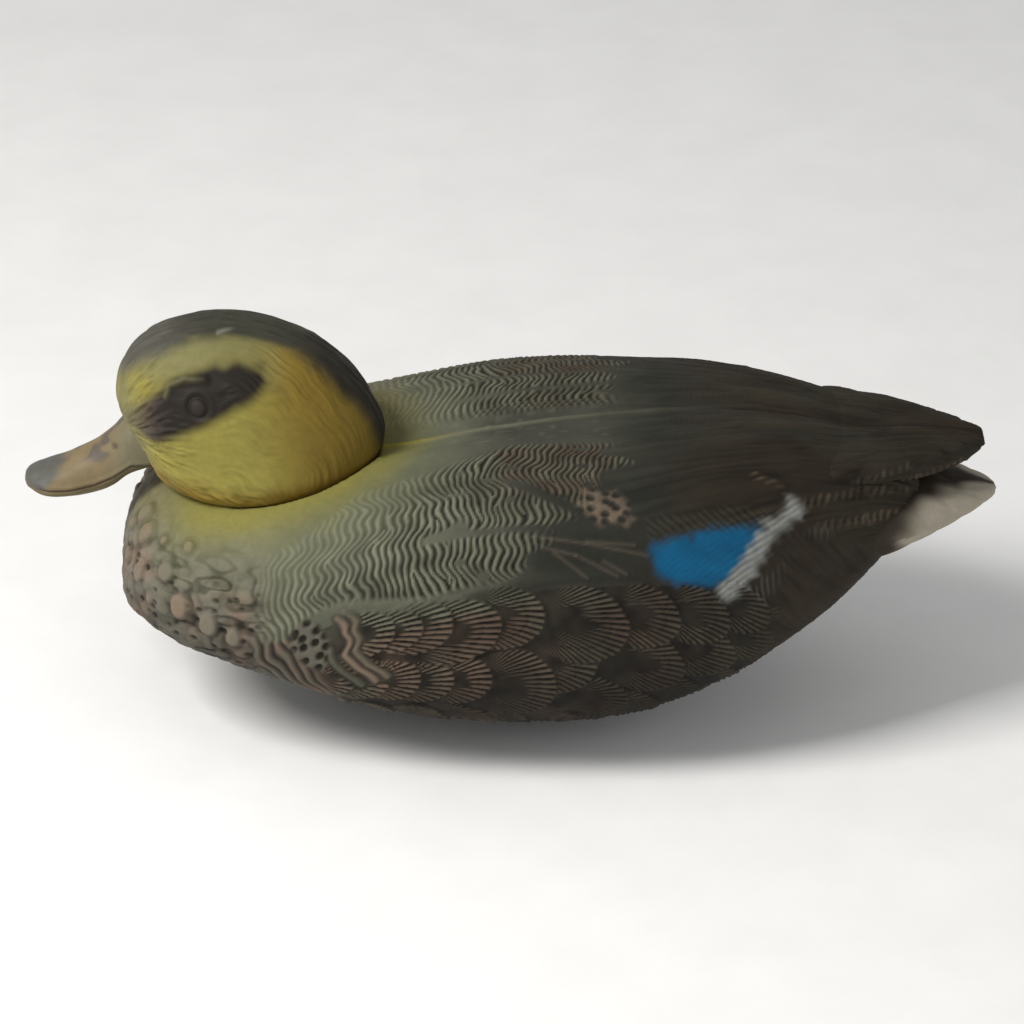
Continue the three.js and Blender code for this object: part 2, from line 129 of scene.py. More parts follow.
EYE = (-113.5, 131.5)
EYE_R = 3.0
# Dish in the body that the head's foot turns in: radius about the swivel axis, height.
DISH = [(0, 76), (14.9, 76), (15.3, 93.6), (38.7, 93.6), (42.6, 96.8), (46.4, 101.2),
        (48.5, 106.6), (51, 115.6), (52, 200)]
PLUG_R = 32.3
PLUG_POCKET = 100.2
DRAIN = (58.0, 24.0, 7.8, 19.0)


# ---- numbers ----
NOISE_CELLS = 64
SCATTER_CELLS = 32
FAR = 1e9
TINY = 1e-9
TURN = 2 * math.pi


def noise(seed, *axes):
    """Smooth value noise, -1 to 1, of one to three coordinates counted in cells."""
    lattice = np.random.default_rng(seed).random((NOISE_CELLS,) * len(axes)) * 2 - 1
    cells = [np.floor(a).astype(int) for a in axes]
    eased = [(a - c) ** 2 * (3 - 2 * (a - c)) for a, c in zip(axes, cells)]
    total = 0.0
    for corner in itertools.product((0, 1), repeat=len(axes)):
        weight = math.prod(ease if bit else 1 - ease for bit, ease in zip(corner, eased))
        index = tuple((c + bit) % NOISE_CELLS for c, bit in zip(cells, corner))
        total += weight * lattice[index]
    return total


def scatter(seed, *axes):
    """Distance to the nearest of one scattered point in each cell."""
    draw = np.random.default_rng(seed).random((SCATTER_CELLS,) * len(axes) + (len(axes),))
    cells = [np.floor(a).astype(int) for a in axes]
    nearest = np.full(np.shape(axes[0]), FAR)
    for step in itertools.product((-1, 0, 1), repeat=len(axes)):
        point = draw[tuple((c + d) % SCATTER_CELLS for c, d in zip(cells, step))]
        away = 0
        for k, (a, c, d) in enumerate(zip(axes, cells, step)):
            away += (a - c - d - point[..., k]) ** 2
        nearest = np.minimum(nearest, away)
    return np.sqrt(nearest)


def fade(start, end, value):
    """0 at start, 1 at end, eased between; start may be the larger."""
    t = np.clip((value - start) / (end - start), 0, 1)
    return t * t * (3 - 2 * t)


def bump(value, width):
    return np.exp(-(value / width) ** 2)


def inside(outline, a, b, soft):
    """1 inside a closed outline and 0 outside, eased over soft on both sides of its edge."""
    closed = outline + outline[:1]
    nearest = from_path(closed, a, b)
    within = np.zeros(np.shape(a), bool)
    for (a0, b0), (a1, b1) in zip(closed, closed[1:]):
        if b0 != b1:
            crosses = (b0 > b) != (b1 > b)
            within ^= crosses & (a < a0 + (b - b0) * (a1 - a0) / (b1 - b0))
    return fade(-soft, soft, np.where(within, nearest, -nearest))


def from_path(path, a, b):
    """Distance from an open path."""
    nearest = np.full(np.shape(a), FAR)
    for (a0, b0), (a1, b1) in zip(path, path[1:]):
        share = ((a - a0) * (a1 - a0) + (b - b0) * (b1 - b0)) / ((a1 - a0) ** 2 + (b1 - b0) ** 2)
        share = np.clip(share, 0, 1)
        away = np.hypot(a - a0 - share * (a1 - a0), b - b0 - share * (b1 - b0))
        nearest = np.minimum(nearest, away)
    return nearest


def comb(a, b, start, end, half, slant, spacing):
    """A band of short uneven ridges along a line: (1 in the band, ridge height 0 to 1)."""
    length = math.hypot(end[0] - start[0], end[1] - start[1])
    ua, ub = (end[0] - start[0]) / length, (end[1] - start[1]) / length
    along = (a - start[0]) * ua + (b - start[1]) * ub
    across = (b - start[1]) * ua - (a - start[0]) * ub
    width = half * (1 + 0.45 * noise(5, along / spacing, across / 30))
    band = fade(width, width * 0.35, np.abs(across))
    band *= fade(-2, 1, along) * fade(length + 2, length - 1, along)
    turn = TURN * (along + slant * across) / spacing + 1.6 * noise(6, along / 7, across / 6)
    return band, (0.5 + 0.5 * np.cos(turn)) ** 1.5


def between(rows, place):
    """Smooth curve through neighbouring rows, read at fractional places."""
    rows = np.array(rows, float)
    last = len(rows) - 1
    i = np.minimum(np.floor(place).astype(int), last - 1)
    t = (place - i)[:, None]
    p0, p1, p2, p3 = (rows[np.clip(i + k, 0, last)] for k in (-1, 0, 1, 2))
    slope1, slope2 = (p2 - p0) / 2, (p3 - p1) / 2
    t2, t3 = t * t, t * t * t
    return ((2 * t3 - 3 * t2 + 1) * p1 + (t3 - 2 * t2 + t) * slope1
            + (3 * t2 - 2 * t3) * p2 + (t3 - t2) * slope2)


def rgb(red, green, blue):
    """Linear colour from the 0 to 255 values of a screen colour."""
    c = np.array([red, green, blue], float) / 255
    return np.where(c <= 0.04045, c / 12.92, ((c + 0.055) / 1.055) ** 2.4)


def mix(first, second, share):
    return first + (second - first) * np.asarray(share)[..., None]


# ---- smooth sections ----
def half_section(rows, low_square, samples):
    """Half cross sections from the top middle to the bottom middle: y (0 and up) and z."""
    theta = np.linspace(math.pi / 2, -math.pi / 2, samples)[None, :]
    wide, top, low, belt, square, groove = (rows[:, k][:, None] for k in range(1, 7))
    upper = theta > 0
    power = np.where(upper, square, low_square)
    c, s = np.abs(np.cos(theta)), np.abs(np.sin(theta))
    size = (c ** power + s ** power) ** (-1 / power)
    y = wide * c * size
    rise = np.where(upper, top - belt, low - belt)
    z = belt + rise * s * size
    y[:, [0, -1]] = 0
    dip = groove * (s * size) ** (power / 2) * np.exp(-(y / GROOVE_SPREAD) ** 2)
    return y, z - np.where(upper, dip, 0)


def spaced_places(rows, spacing):
    """Places along a list of rows so that no meridian's step is longer than spacing(x)."""
    fine = np.linspace(0, len(rows) - 1, 6000)
    sampled = between(rows, fine)
    y, z = half_section(sampled, LOW_SQUARE, 9)
    x = np.repeat(sampled[:, :1], 9, axis=1)
    step = np.linalg.norm(np.diff([x, y, z], axis=1), axis=0)
    cost = np.concatenate([[0], np.cumsum(step.max(axis=1) / spacing(sampled[1:, 0]))])
    return np.interp(np.arange(int(cost[-1]) + 1), cost, fine)


def walk(y, z, shares):
    """Moves the points of each section to given shares of its length; returns y, z, distance."""
    out = []
    for row_y, row_z in zip(y, z):
        run = np.concatenate([[0], np.cumsum(np.hypot(np.diff(row_y), np.diff(row_z)))])
        want = shares * run[-1]
        out.append((np.interp(want, run, row_y), np.interp(want, run, row_z), want))
    return np.moveaxis(np.array(out), 1, 0)


def outward_normals(grid, middle, wrap=False):
    """Unit normals of a grid of points, pointing away from the middle."""
    if wrap:
        grid = np.concatenate([grid[:, -1:], grid, grid[:, :1]], axis=1)
    normal = np.cross(np.gradient(grid, axis=0), np.gradient(grid, axis=1))
    if wrap:
        grid, normal = grid[:, 1:-1], normal[:, 1:-1]
    normal = normal / np.maximum(np.linalg.norm(normal, axis=-1, keepdims=True), TINY)
    return normal * np.sign(((grid - middle) * normal).sum())


class Skin:
    """A grid of surface points with the relief and paint worked out so far."""

    def __init__(self, x, y, z, girth, side):
        self.x, self.y, self.z, self.q, self.side = x, y, z, girth, side
        self.height = np.zeros_like(x)
        self.paint = np.zeros(x.shape + (3,))
        self.grid = np.stack([x, y, z], axis=-1)
        self.normal = outward_normals(self.grid, self.grid.mean(axis=1, keepdims=True) * [1, 0, 1])

    def mottle(self, seed, along_cell, girth_cell):
        return noise(seed, self.x / along_cell, self.q / girth_cell)

    def lay(self, mask, height, paint):
        """Lays a region over what is there."""
        self.height = self.height * (1 - mask) + height * mask
        self.paint = mix(self.paint, paint, mask)

    def tint(self, mask, paint):
        self.paint = mix(self.paint, paint, mask)

    def raised(self):
        return self.grid + self.normal * self.height[..., None]


# ---- paint colours ----
BACK_RIDGE = rgb(119, 120, 101)
# Painted shade in the grooves between the wavy ridges of the back.
BACK_GROOVE_SHADE = rgb(27, 27, 19)
BACK_SMOOTH = rgb(84, 85, 71)
SCAPULAR = rgb(60, 60, 52)
PINK_RIDGE = rgb(107, 89, 75)
WING_DARK = rgb(40, 40, 34)
WING_REAR = rgb(42, 35, 26)
FLANK_RIDGE = rgb(97, 90, 76)
# Painted shade for the grooves and creases of the flank feathers, the wing and the seam.
FLANK_GROOVE_SHADE = rgb(19, 16, 12)
FLANK_DARK = rgb(34, 30, 25)
BREAST = rgb(105, 101, 89)
BREAST_PINK = rgb(125, 105, 90)
# Painted shade in the pits, gaps and grooves of the breast and the patches beside it.
PIT_SHADE = rgb(34, 31, 25)
GLOW = rgb(139, 128, 34)
BLUE = rgb(3, 84, 122)
WHITE = rgb(138, 139, 134)
BELLY = rgb(46, 42, 36)
TAIL_PALE = rgb(158, 150, 134)
TAIL_DARK = rgb(44, 36, 26)
# Ochre for the back and bottom of the head: partly ochre paint, partly painted shade.
OCHRE = rgb(115, 92, 31)
CHEEK = rgb(129, 121, 58)
CROWN = rgb(56, 55, 46)
FOREHEAD = rgb(75, 73, 66)
STRIPE = rgb(32, 27, 22)
BILL_CREAM = rgb(118, 104, 78)
BILL_GREY = rgb(72, 69, 72)
ROSY = rgb(126, 112, 99)
POCKED = rgb(104, 90, 76)
QUILL = rgb(108, 97, 82)
WING_RED = rgb(52, 42, 33)
WING_GREEN = rgb(50, 51, 40)
DASH = rgb(118, 102, 84)
# Painted highlight on the seam bead.
SEAM_HIGHLIGHT = rgb(104, 102, 84)
HALO = rgb(98, 102, 74)
NECK_SEAT = rgb(110, 106, 84)
TAIL_ROOT = rgb(50, 43, 34)
LORE = rgb(122, 117, 90)
MAUVE = rgb(74, 64, 60)
NAPE = rgb(44, 41, 32)
BROW = rgb(106, 104, 72)
FACE_FRONT = rgb(104, 101, 76)
# Colour of a short pale mark on top of the head.
PALE_MARK = rgb(130, 130, 118)
# Painted highlight along the brow ridge.
BROW_HIGHLIGHT = rgb(112, 108, 70)
LENS = rgb(43, 37, 31)
# Painted shade in the groove round the eye.
EYE_RING_SHADE = rgb(22, 19, 16)
BILL_BASE = rgb(108, 103, 82)
BILL_NAIL = rgb(86, 85, 80)
BILL_UNDER = rgb(104, 93, 67)
MOUTH = rgb(60, 50, 44)
NOSTRIL = rgb(70, 58, 52)


# ---- body relief ----
WAVE_PERIOD = 2.75
WAVE_HEIGHT = 0.85


def wavy_lines(skin):
    """Fine wavy ridges across the duck, with forks where two lines meet."""
    x, q = skin.x, skin.q
    sway = 2.6 * np.sin(TURN * q / 37 + 1.6 * skin.mottle(11, 55, 60))
    small = 0.9 + 0.8 * skin.mottle(14, 22, 16)
    sway += small * np.sin(TURN * q / 11.5 + 3.4 * skin.mottle(12, 24, 34))
    sway += 1.3 * skin.mottle(13, 12, 8) + 0.35 * skin.mottle(15, 3, 2.5)
    turn = TURN * (x + sway) / WAVE_PERIOD
    draw = np.random.default_rng(7)
    for _ in range(70):
        fork_x, fork_q = draw.uniform(-92, 44), draw.uniform(16, 98)
        turn += draw.choice([-1, 1]) * np.arctan2(q - fork_q, x - fork_x)
    return 0.5 + 0.5 * np.cos(turn)


def wave_region(skin):
    """Where the wavy lines run: between an upper and a lower limit down the side."""
    along, q = skin.x, skin.q
    x = along + 1.5 * noise(21, q / 7, along / 30)
    if skin.side < 0:
        upper = np.interp(x, [-90, -75, -65, -55, -30, -10, 0, 38], [66, 60, 53, 44, 40, 33, 28, 29])
    else:
        upper = np.interp(x, [-90, -75, -65, -50, -30, 38], [66, 40, 22, 13, 9, 8])
    lower = np.interp(x, [-90, -82, -75, -60, -30, 0, 8, 60], [96, 98, 91, 87.5, 93, 91, 87.5, 86])
    rows = fade(-2, 2.5, q - upper) * fade(1.5, -1.5, q - lower)
    rows *= fade(-96, -84, along)
    ragged = x + 3 * noise(23, x / 5, q / 2.2) + 8 * noise(24, q / 6)
    end = inside([(-120, -20), (38, -20), (39, 46), (34, 54), (29, 66), (20, 73), (8, 74), (8, 110),
                  (-120, 110)], ragged, q, 3.0)
    gap = inside([(-32, 71), (13, 71.5), (13, 74), (-32, 74)], along, q, 0.9)
    spear = inside([(-4, 49), (6, 53), (29, 67), (27, 70), (12, 62), (-2, 53)], along, q, 1.0)
    worn = fade(-0.80, -0.62, noise(22, x / 9, q / 5.5))
    if skin.side > 0:
        strips = np.clip(bump(q - 20.5 - 0.05 * x, 1.6) + bump(q - 32 - 0.04 * x, 1.2), 0, 1)
        worn *= (1 - fade(-30, -15, along) * strips) * fade(-72, -48, along + q * 0.4)
    return rows * end * (1 - gap) * (1 - spear) * worn


def lay_ground(skin):
    """Plain paint of each part of the body, under everything else."""
    x, q = skin.x, skin.q
    soft = 6 * skin.mottle(31, 22, 22)
    skin.paint = mix(BACK_SMOOTH, SCAPULAR, fade(-30, 5, x + soft))
    skin.tint(fade(30, 62, x + soft) * fade(100, 84, q + soft), WING_DARK)
    skin.tint(fade(-4, 16, x + soft) * fade(26, 60, q) * fade(100, 84, q), WING_DARK)
    skin.tint(fade(66, 104, x + 0.35 * q + soft), WING_REAR)
    skin.tint(fade(90, 104, q + soft * 0.4) * fade(-70, -48, x), FLANK_DARK)
    skin.tint(fade(-70, -96, x + soft * 0.5) * fade(150, 120, q), BREAST)
    skin.tint(fade(165, 195, q), BELLY)
    blotch = noise(32, x / 9, q / 9, skin.z / 9) + 0.5 * noise(33, x / 3.5, q / 3.5, skin.z / 3.5)
    skin.paint *= 1 + 0.10 * blotch[..., None]
    skin.height = 0.25 * skin.mottle(34, 17, 12) + 0.05 * skin.mottle(35, 3, 2)


def lay_feather_edges(skin):
    """Two smooth rounded feathers by the middle of the back, and flecks of worn paint."""
    x, q = skin.x, skin.q
    for tip, middle, half in ((12, 20, 8), (-8, 10, 8)):
        ahead = (x - tip + half) / half
        across = (q - middle) / half
        reach = np.where(ahead > 0, np.hypot(ahead, across), np.abs(across))
        cover = fade(1.03, 0.97, reach) * fade(-2.2, -0.6, ahead)
        skin.height += 0.3 * fade(-2, 1, ahead) * cover
        skin.tint(0.05 * bump(reach - 0.96, 0.07) * fade(-0.1, 0.3, ahead), BACK_RIDGE)
    fleck = fade(0.45, 0.75, skin.mottle(36, 4, 3))
    fleck *= fade(30, 20, q) * fade(60, 20, x)
    skin.height += 0.3 * fleck
    skin.tint(0.14 * fleck, BACK_RIDGE)


def lay_waves(skin):
    x, q = skin.x, skin.q
    mask = wave_region(skin)
    ridge = wavy_lines(skin)
    broken = 0.8 + 0.35 * skin.mottle(41, 6, 5)
    pink = fade(-12, 4, x) * fade(42, 34, x) * fade(24, 34, q) * fade(66, 56, q)
    pink = np.maximum(pink, 0.7 * fade(5, 12, x) * fade(25, 15, q))
    pink *= 0.6 + 0.4 * skin.mottle(42, 7, 7)
    dim = fade(-60, 20, x) * 0.38
    sharp = 1 + 0.45 * fade(-60, -10, x)
    crest = mix(BACK_RIDGE, PINK_RIDGE, np.clip(pink, 0, 1))
    crest *= 1 - dim[..., None]
    # Grooves between the wavy ridges get painted shade; the ridges are brushed with the crest colour.
    tone = mix(BACK_GROOVE_SHADE, crest, np.clip((0.5 + (ridge - 0.5) * sharp) * broken, 0, 1))
    near_neck = fade(92, 52, np.hypot(x - NECK_X, skin.y))
    tone = mix(tone, crest * 0.9, 0.6 * near_neck)
    height = WAVE_HEIGHT * (ridge - 0.35) * (1 - 0.5 * near_neck)
    skin.lay(mask, height, tone)
    if skin.side > 0:
        rosy = fade(-34, -56, x) * fade(66, 48, q) * fade(6, 12, q)
        skin.tint(0.45 * rosy * (0.7 + 0.3 * skin.mottle(43, 6, 6)), ROSY)


def lay_pocked_patch(skin):
    """Pinkish patch with dark pits where the wavy lines end."""
    x, q = skin.x, skin.q
    jag = 1.6 * skin.mottle(52, 3, 3)
    outline = [(26, 57), (38, 58), (44, 64), (43, 71), (32, 71), (25, 65)]
    patch = inside(outline, x + jag, q + jag, 2.2)
    hole = fade(0.52, 0.22, scatter(51, x / 4.4, q / 3.8))
    # The carved pits are darkened with painted shade.
    skin.lay(patch * 0.8, 0.45 - 0.9 * hole, mix(POCKED, PIT_SHADE, hole))


RIB_PITCH = 2.55


def lay_fan(skin, tip, middle, half, front, root=1.9, tilt=0.15, smooth=0.0):
    """One rounded flank feather: its rim stands off the one behind, ribs spread from its root."""
    back, down = skin.x - tip + front, skin.q - middle
    ahead = (back * math.cos(tilt) + down * math.sin(tilt)) / front
    across = (down * math.cos(tilt) - back * math.sin(tilt)) / half
    narrow = 1 + 0.38 * np.clip(ahead, -1.8, 0)
    reach = np.where(ahead > 0, np.hypot(ahead, across), np.abs(across) / narrow)
    near = (reach < 1.1) & (ahead > -2)
    if not near.any():
        return
    x, q = skin.x[near], skin.q[near]
    a, c, r = ahead[near], across[near], reach[near]
    r += 0.02 * noise(60, x / 4, q / 4)
    cover = fade(1.035, 0.985, r) * fade(-1.9, -1.2, a)
    angle = np.arctan2(c * half, (a - 1 + root) * front)
    wobble = 0.9 * noise(61, x / 6, q / 6)
    ribs = (0.5 + 0.5 * np.cos(TURN * angle * root * front / RIB_PITCH + wobble + tip)) ** 1.1
    length = 0.30 + 0.14 * noise(64, angle * 9 + tip, 0 * angle + middle)
    zone = fade(length, length + 0.16, r) * fade(1.0, 0.95, r) * fade(-0.55, 0.0, a) * (1 - smooth)
    fold = bump(r - 0.64, 0.045) * fade(-0.4, 0.1, a)
    rim = bump(r - 0.975, 0.03) * fade(-0.8, 0.0, a)
    height = 1.3 * np.clip((a + 1.2) / 2.2, 0, 1) + 0.75 * (ribs - 0.4) * zone - 0.2 * fold + 0.2 * rim
    # Feather paint: brushed lighter on the ribs and the rim, with painted shade in the fold crease and
    # between the ribs.
    brush_and_shade = 0.13 + 1.25 * zone * (ribs - 0.25) * fade(0.2, 0.9, r + 0.3) - 0.12 * fold + 0.10 * rim
    brush_and_shade += 0.12 * noise(62, x / 4, q / 4) + 0.45 * smooth
    brush_and_shade *= (0.92 + 0.25 * noise(65, x / 16, q / 14)) * (1.30 - 0.72 * fade(-50, 55, x))
    # Painted shade: the feathers get darker lower down the flank.
    brush_and_shade *= 1 - 0.50 * fade(110, 148, q)
    rosy = np.clip(0.45 + 0.8 * noise(63, x / 14, q / 12), 0, 1) * fade(75, 45, x)
    crest = mix(FLANK_RIDGE, PINK_RIDGE, rosy)
    crest = mix(crest, BACK_RIDGE * 0.85, fade(106, 97, q) * fade(40, -10, x))
    tone = mix(FLANK_GROOVE_SHADE, crest, np.clip(brush_and_shade, 0, 1))
    skin.height[near] = skin.height[near] * (1 - cover) + height * cover
    skin.paint[near] = mix(skin.paint[near], tone, cover)


# Ribbed flank feathers: along at the tip, girth at the middle, half width, length from tip to
# widest place. Each list runs from the tail forwards.
LOW_FANS = [(97, 124, 11, 13), (84, 133, 12, 14), (70, 140, 12, 14), (55, 148, 12, 14),
            (43, 141, 11, 12), (-8, 148, 12, 14), (-24, 150, 11, 13), (-42, 147, 11, 13),
            (-58, 140, 10, 12)]
MIDDLE_FANS = [(108, 104, 10, 13), (97, 110, 10, 13), (82, 117, 12, 15), (63.5, 124, 13, 16),
               (32, 124, 14, 17), (17.5, 134, 16, 18), (-6, 129, 11, 14), (-20, 127, 10, 13),
               (-32, 124, 10, 12), (-43, 122, 10, 12), (-55, 119, 9, 11)]
UPPER_FANS = [(95, 98, 10, 13), (80, 103, 12, 15), (62, 105, 13, 16), (43.5, 109, 16, 20),
              (13, 105, 13, 17)]
FRONT_FANS = [(-2.5, 108, 13.5, 20), (-20, 104, 11, 15), (-31, 103.5, 9, 12), (-41, 102.5, 9.5, 12)]
# Smooth curled ridges ahead of the first ribbed feathers: places (along, girth) and paint.
CURLS = [
    ([(-66, 106), (-62.8, 113), (-59, 119), (-54, 124)], rgb(80, 79, 66)),
    ([(-62.8, 94), (-59, 98), (-58, 103), (-59.5, 109), (-55, 116), (-49, 123)], rgb(118, 102, 88)),
    ([(-59.5, 92), (-55.6, 97), (-55, 103), (-56, 108), (-51.5, 115), (-45, 122)], rgb(98, 90, 75)),
]


def lay_flank(skin):
    """Rows of rounded feathers down the side; front over rear and upper over lower."""
    draw = np.random.default_rng(17)
    for row in range(4, -1, -1):
        for k in range(11, -1, -1):
            tip = -52 + 15.5 * k + (7 if row % 2 else 0) + draw.uniform(-3, 3)
            middle = 160 + 17 * row - 0.16 * abs(tip) + draw.uniform(-2, 2)
            lay_fan(skin, tip, middle, 12 + draw.uniform(-1, 2), 14, smooth=0.3)
    for feather in LOW_FANS + MIDDLE_FANS + UPPER_FANS:
        lay_fan(skin, *feather)
    for feather in FRONT_FANS:
        lay_fan(skin, *feather, root=2.4, tilt=0.05)
    for path, crest_tone in CURLS:
        away = from_path(path, skin.x + noise(72, skin.q / 5), skin.q)
        crest = bump(away, 1.3)
        # Painted shade round the curled ridges, lighter on their crests.
        skin.lay(fade(3.0, 1.4, away), 0.9 * crest, mix(PIT_SHADE, crest_tone, crest))


def lay_rim_band(skin):
    """Smooth raised band where the side plumage overlaps the flank."""
    x, q = skin.x, skin.q
    middle = np.interp(x, [-68, -55, -30, 0, 30, 60], [90, 91.5, 95.5, 93.5, 90.5, 90.5])
    middle += noise(71, x / 9)
    band = bump(q - middle, 2.8) * fade(-70, -60, x) * fade(58, 40, x)
    skin.height += 0.9 * band
    skin.tint(0.8 * band, mix(BACK_SMOOTH, WING_DARK, fade(-45, 20, x)))


def lay_shafts(skin):
    """Thin pale quills on the dark feathers ahead of the coloured patch."""
    x, q = skin.x, skin.q
    zone = inside([(8, 74), (30, 74), (50, 78), (50, 90), (30, 92), (10, 89)], x, q, 2)
    skin.tint(0.5 * zone, WING_DARK * 0.8)
    quills = [[(8, 76), (30, 79), (50, 82)], [(28, 78), (45, 78.5)], [(16, 82), (28, 91)],
              [(24, 83), (39, 90)], [(34, 85), (42, 89)], [(12, 80), (24, 83)]]
    for path in quills:
        away = from_path(path, x, q)
        skin.height += 0.35 * bump(away, 0.7) - 0.2 * bump(away - 1.5, 0.8)
        skin.tint(0.26 * bump(away, 0.6), QUILL)


def lay_coloured_patch(skin):
    """Blue patch on the wing with a white bar behind it, and short barbs round both."""
    x, q = skin.x, skin.q
    fine = 0.5 + 0.5 * np.cos(TURN * (0.9 * x + q) / 2.6 + 1.5 * skin.mottle(83, 5, 5))
    ragged = 1.3 * skin.mottle(81, 3, 3) + 0.5 * fine
    outline = [(51, 80), (58, 76), (75, 70), (91, 66), (90, 72), (81, 86), (75, 91), (58, 91), (53, 88)]
    blue = inside(outline, x + ragged, q + ragged, 3.0)
    shade = 0.9 + 0.16 * skin.mottle(82, 8, 4) - 0.12 * fade(60, 52, x)
    skin.lay(blue, 0.12 * fine, BLUE * shade[..., None])
    band, ridge = comb(x, q, (50, 72), (93, 62), 5.0, -0.9, 3.1)
    skin.height += 0.40 * band * (ridge - 0.3)
    # Barbs brushed lighter on their ridges, with painted shade between them.
    skin.tint(0.10 * band * ridge, BACK_RIDGE)
    skin.tint(0.35 * band * (1 - ridge), FLANK_GROOVE_SHADE)
    band, ridge = comb(x, q, (90, 92), (116, 58), 5.0, 1.0, 3.2)
    skin.height += 0.35 * band * (ridge - 0.4)
    skin.tint(0.20 * band * ridge, WHITE)
    bar = from_path([(79, 93), (86, 82), (93, 69), (104, 55)], x + 1.2 * ragged, q + 0.6 * ragged)
    white = fade(5.4, 0.4, bar) * (0.74 + 0.22 * fine)
    skin.tint(white, WHITE)
    skin.height += 0.3 * white * (0.5 + fine)


def lay_long_feather(skin, tip, middle, half, front):
    """One long pointed wing feather with a centre quill and fine slanting barbs."""
    x, q = skin.x, skin.q
    lean = 0.10 + 0.005 * middle
    ahead = (x - tip + front) / front
    across = (q - middle + lean * (x - tip)) / half
    reach = np.where(ahead > 0, np.hypot(np.abs(ahead) ** 1.4, across), np.abs(across))
    cover = fade(1.05, 0.93, reach) * fade(-2.4, -1.2, ahead)
    barbs = np.cos(TURN * ((x - tip) - 1.5 * np.abs(across) * half) / 2.4)
    height = 0.9 * np.clip((ahead + 1.6) / 2.6, 0, 1) + 0.04 * barbs + 0.15 * bump(across, 0.08)
    shade = 1 + 0.04 * barbs - 0.16 * bump(reach - 0.62, 0.30) * fade(-1.5, 0, ahead)
    skin.lay(cover, height, skin.paint * shade[..., None])
    # Painted shadow just outside the feather's edge, on the feather it overlaps.
    skin.tint(0.45 * bump(reach - 1.03, 0.09) * fade(-1.4, -0.2, ahead), FLANK_GROOVE_SHADE)


def lay_wing(skin):
    """Long feathers of the folded wing, laid from the tail forwards."""
    x, q = skin.x, skin.q
    feathers = [(176, 4, 6, 40), (168, 11, 6, 38), (160, 18, 6, 40), (148, 26, 7, 42), (138, 6, 7, 44),
                (128, 38, 8, 40), (112, 22, 9, 44), (100, 48, 9, 40), (88, 12, 9, 40)]
    region = fade(34, 52, x) * fade(70, 60, q + 0.15 * (x - 90))
    before = skin.height, skin.paint
    for feather in feathers:
        lay_long_feather(skin, *feather)
    feathered = skin.height, skin.paint
    skin.height, skin.paint = before
    skin.lay(region, *feathered)
    spread = 100 * q / np.maximum(205 - x, 20)
    aft = fade(20, 50, x) * fade(80, 60, q)
    streaks = noise(91, x / 24, spread / 1.7) + 0.6 * noise(92, x / 9, spread / 0.9)
    streaks *= aft
    skin.height += 0.34 * streaks
    skin.paint *= 1 + 0.22 * streaks[..., None]
    skin.tint(aft * fade(0.0, 0.6, skin.mottle(93, 26, 13)) * 0.24, WING_RED)
    skin.tint(aft * fade(0.0, 0.6, skin.mottle(94, 24, 12)) * 0.3, WING_GREEN)


def lay_rear_dashes(skin):
    """Rows of short pale strokes along the wing's lower edge, towards the tail."""
    x, q = skin.x, skin.q
    rows = [((88, 46), (107, 52), 2.6), ((107, 52), (131, 37), 2.6), ((131, 37), (146, 27), 2.2),
            ((112, 59), (131, 47), 2.6), ((131, 47), (151, 31), 2.4), ((151, 31), (168, 16), 2.2)]
    for start, end, half in rows:
        band, ridge = comb(x, q, start, end, half, 0.8, 3.4)
        worn = 0.55 + 0.45 * skin.mottle(95, 5, 5)
        skin.height += 0.35 * band * (ridge - 0.4)
        skin.tint(0.42 * band * ridge * worn, DASH)


def lay_rear_flank(skin):
    """Slanting streaks on the brown stern."""
    x, q = skin.x, skin.q
    zone = fade(98, 112, x + 0.1 * q) * fade(56, 66, q + 0.2 * (x - 110)) * fade(170, 140, q)
    streak = noise(96, (x + 0.8 * q) / 9, (q - 0.75 * x) / 1.8)
    skin.lay(zone, 0.25 * streak, WING_REAR * (1 + 0.35 * streak[..., None]))


KNOBS = [(-134.8, -18.4, 82.4, 3.4), (-134.1, -29, 79.4, 3.6), (-117.6, -46.5, 83.3, 2.6),
         (-126.2, -47.5, 72.9, 3.6), (-136.7, -36.9, 67.1, 3.2), (-121.4, -54.8, 62.4, 3.8),
         (-110.2, -61.4, 58.2, 3.8), (-140, -24, 68, 2.8), (-131, -43, 60, 2.6), (-101, -65.5, 55, 3.2),
         (-126, -38, 80, 2.2), (-138, -14, 75, 2.6), (-133, -36, 54, 2.6)]


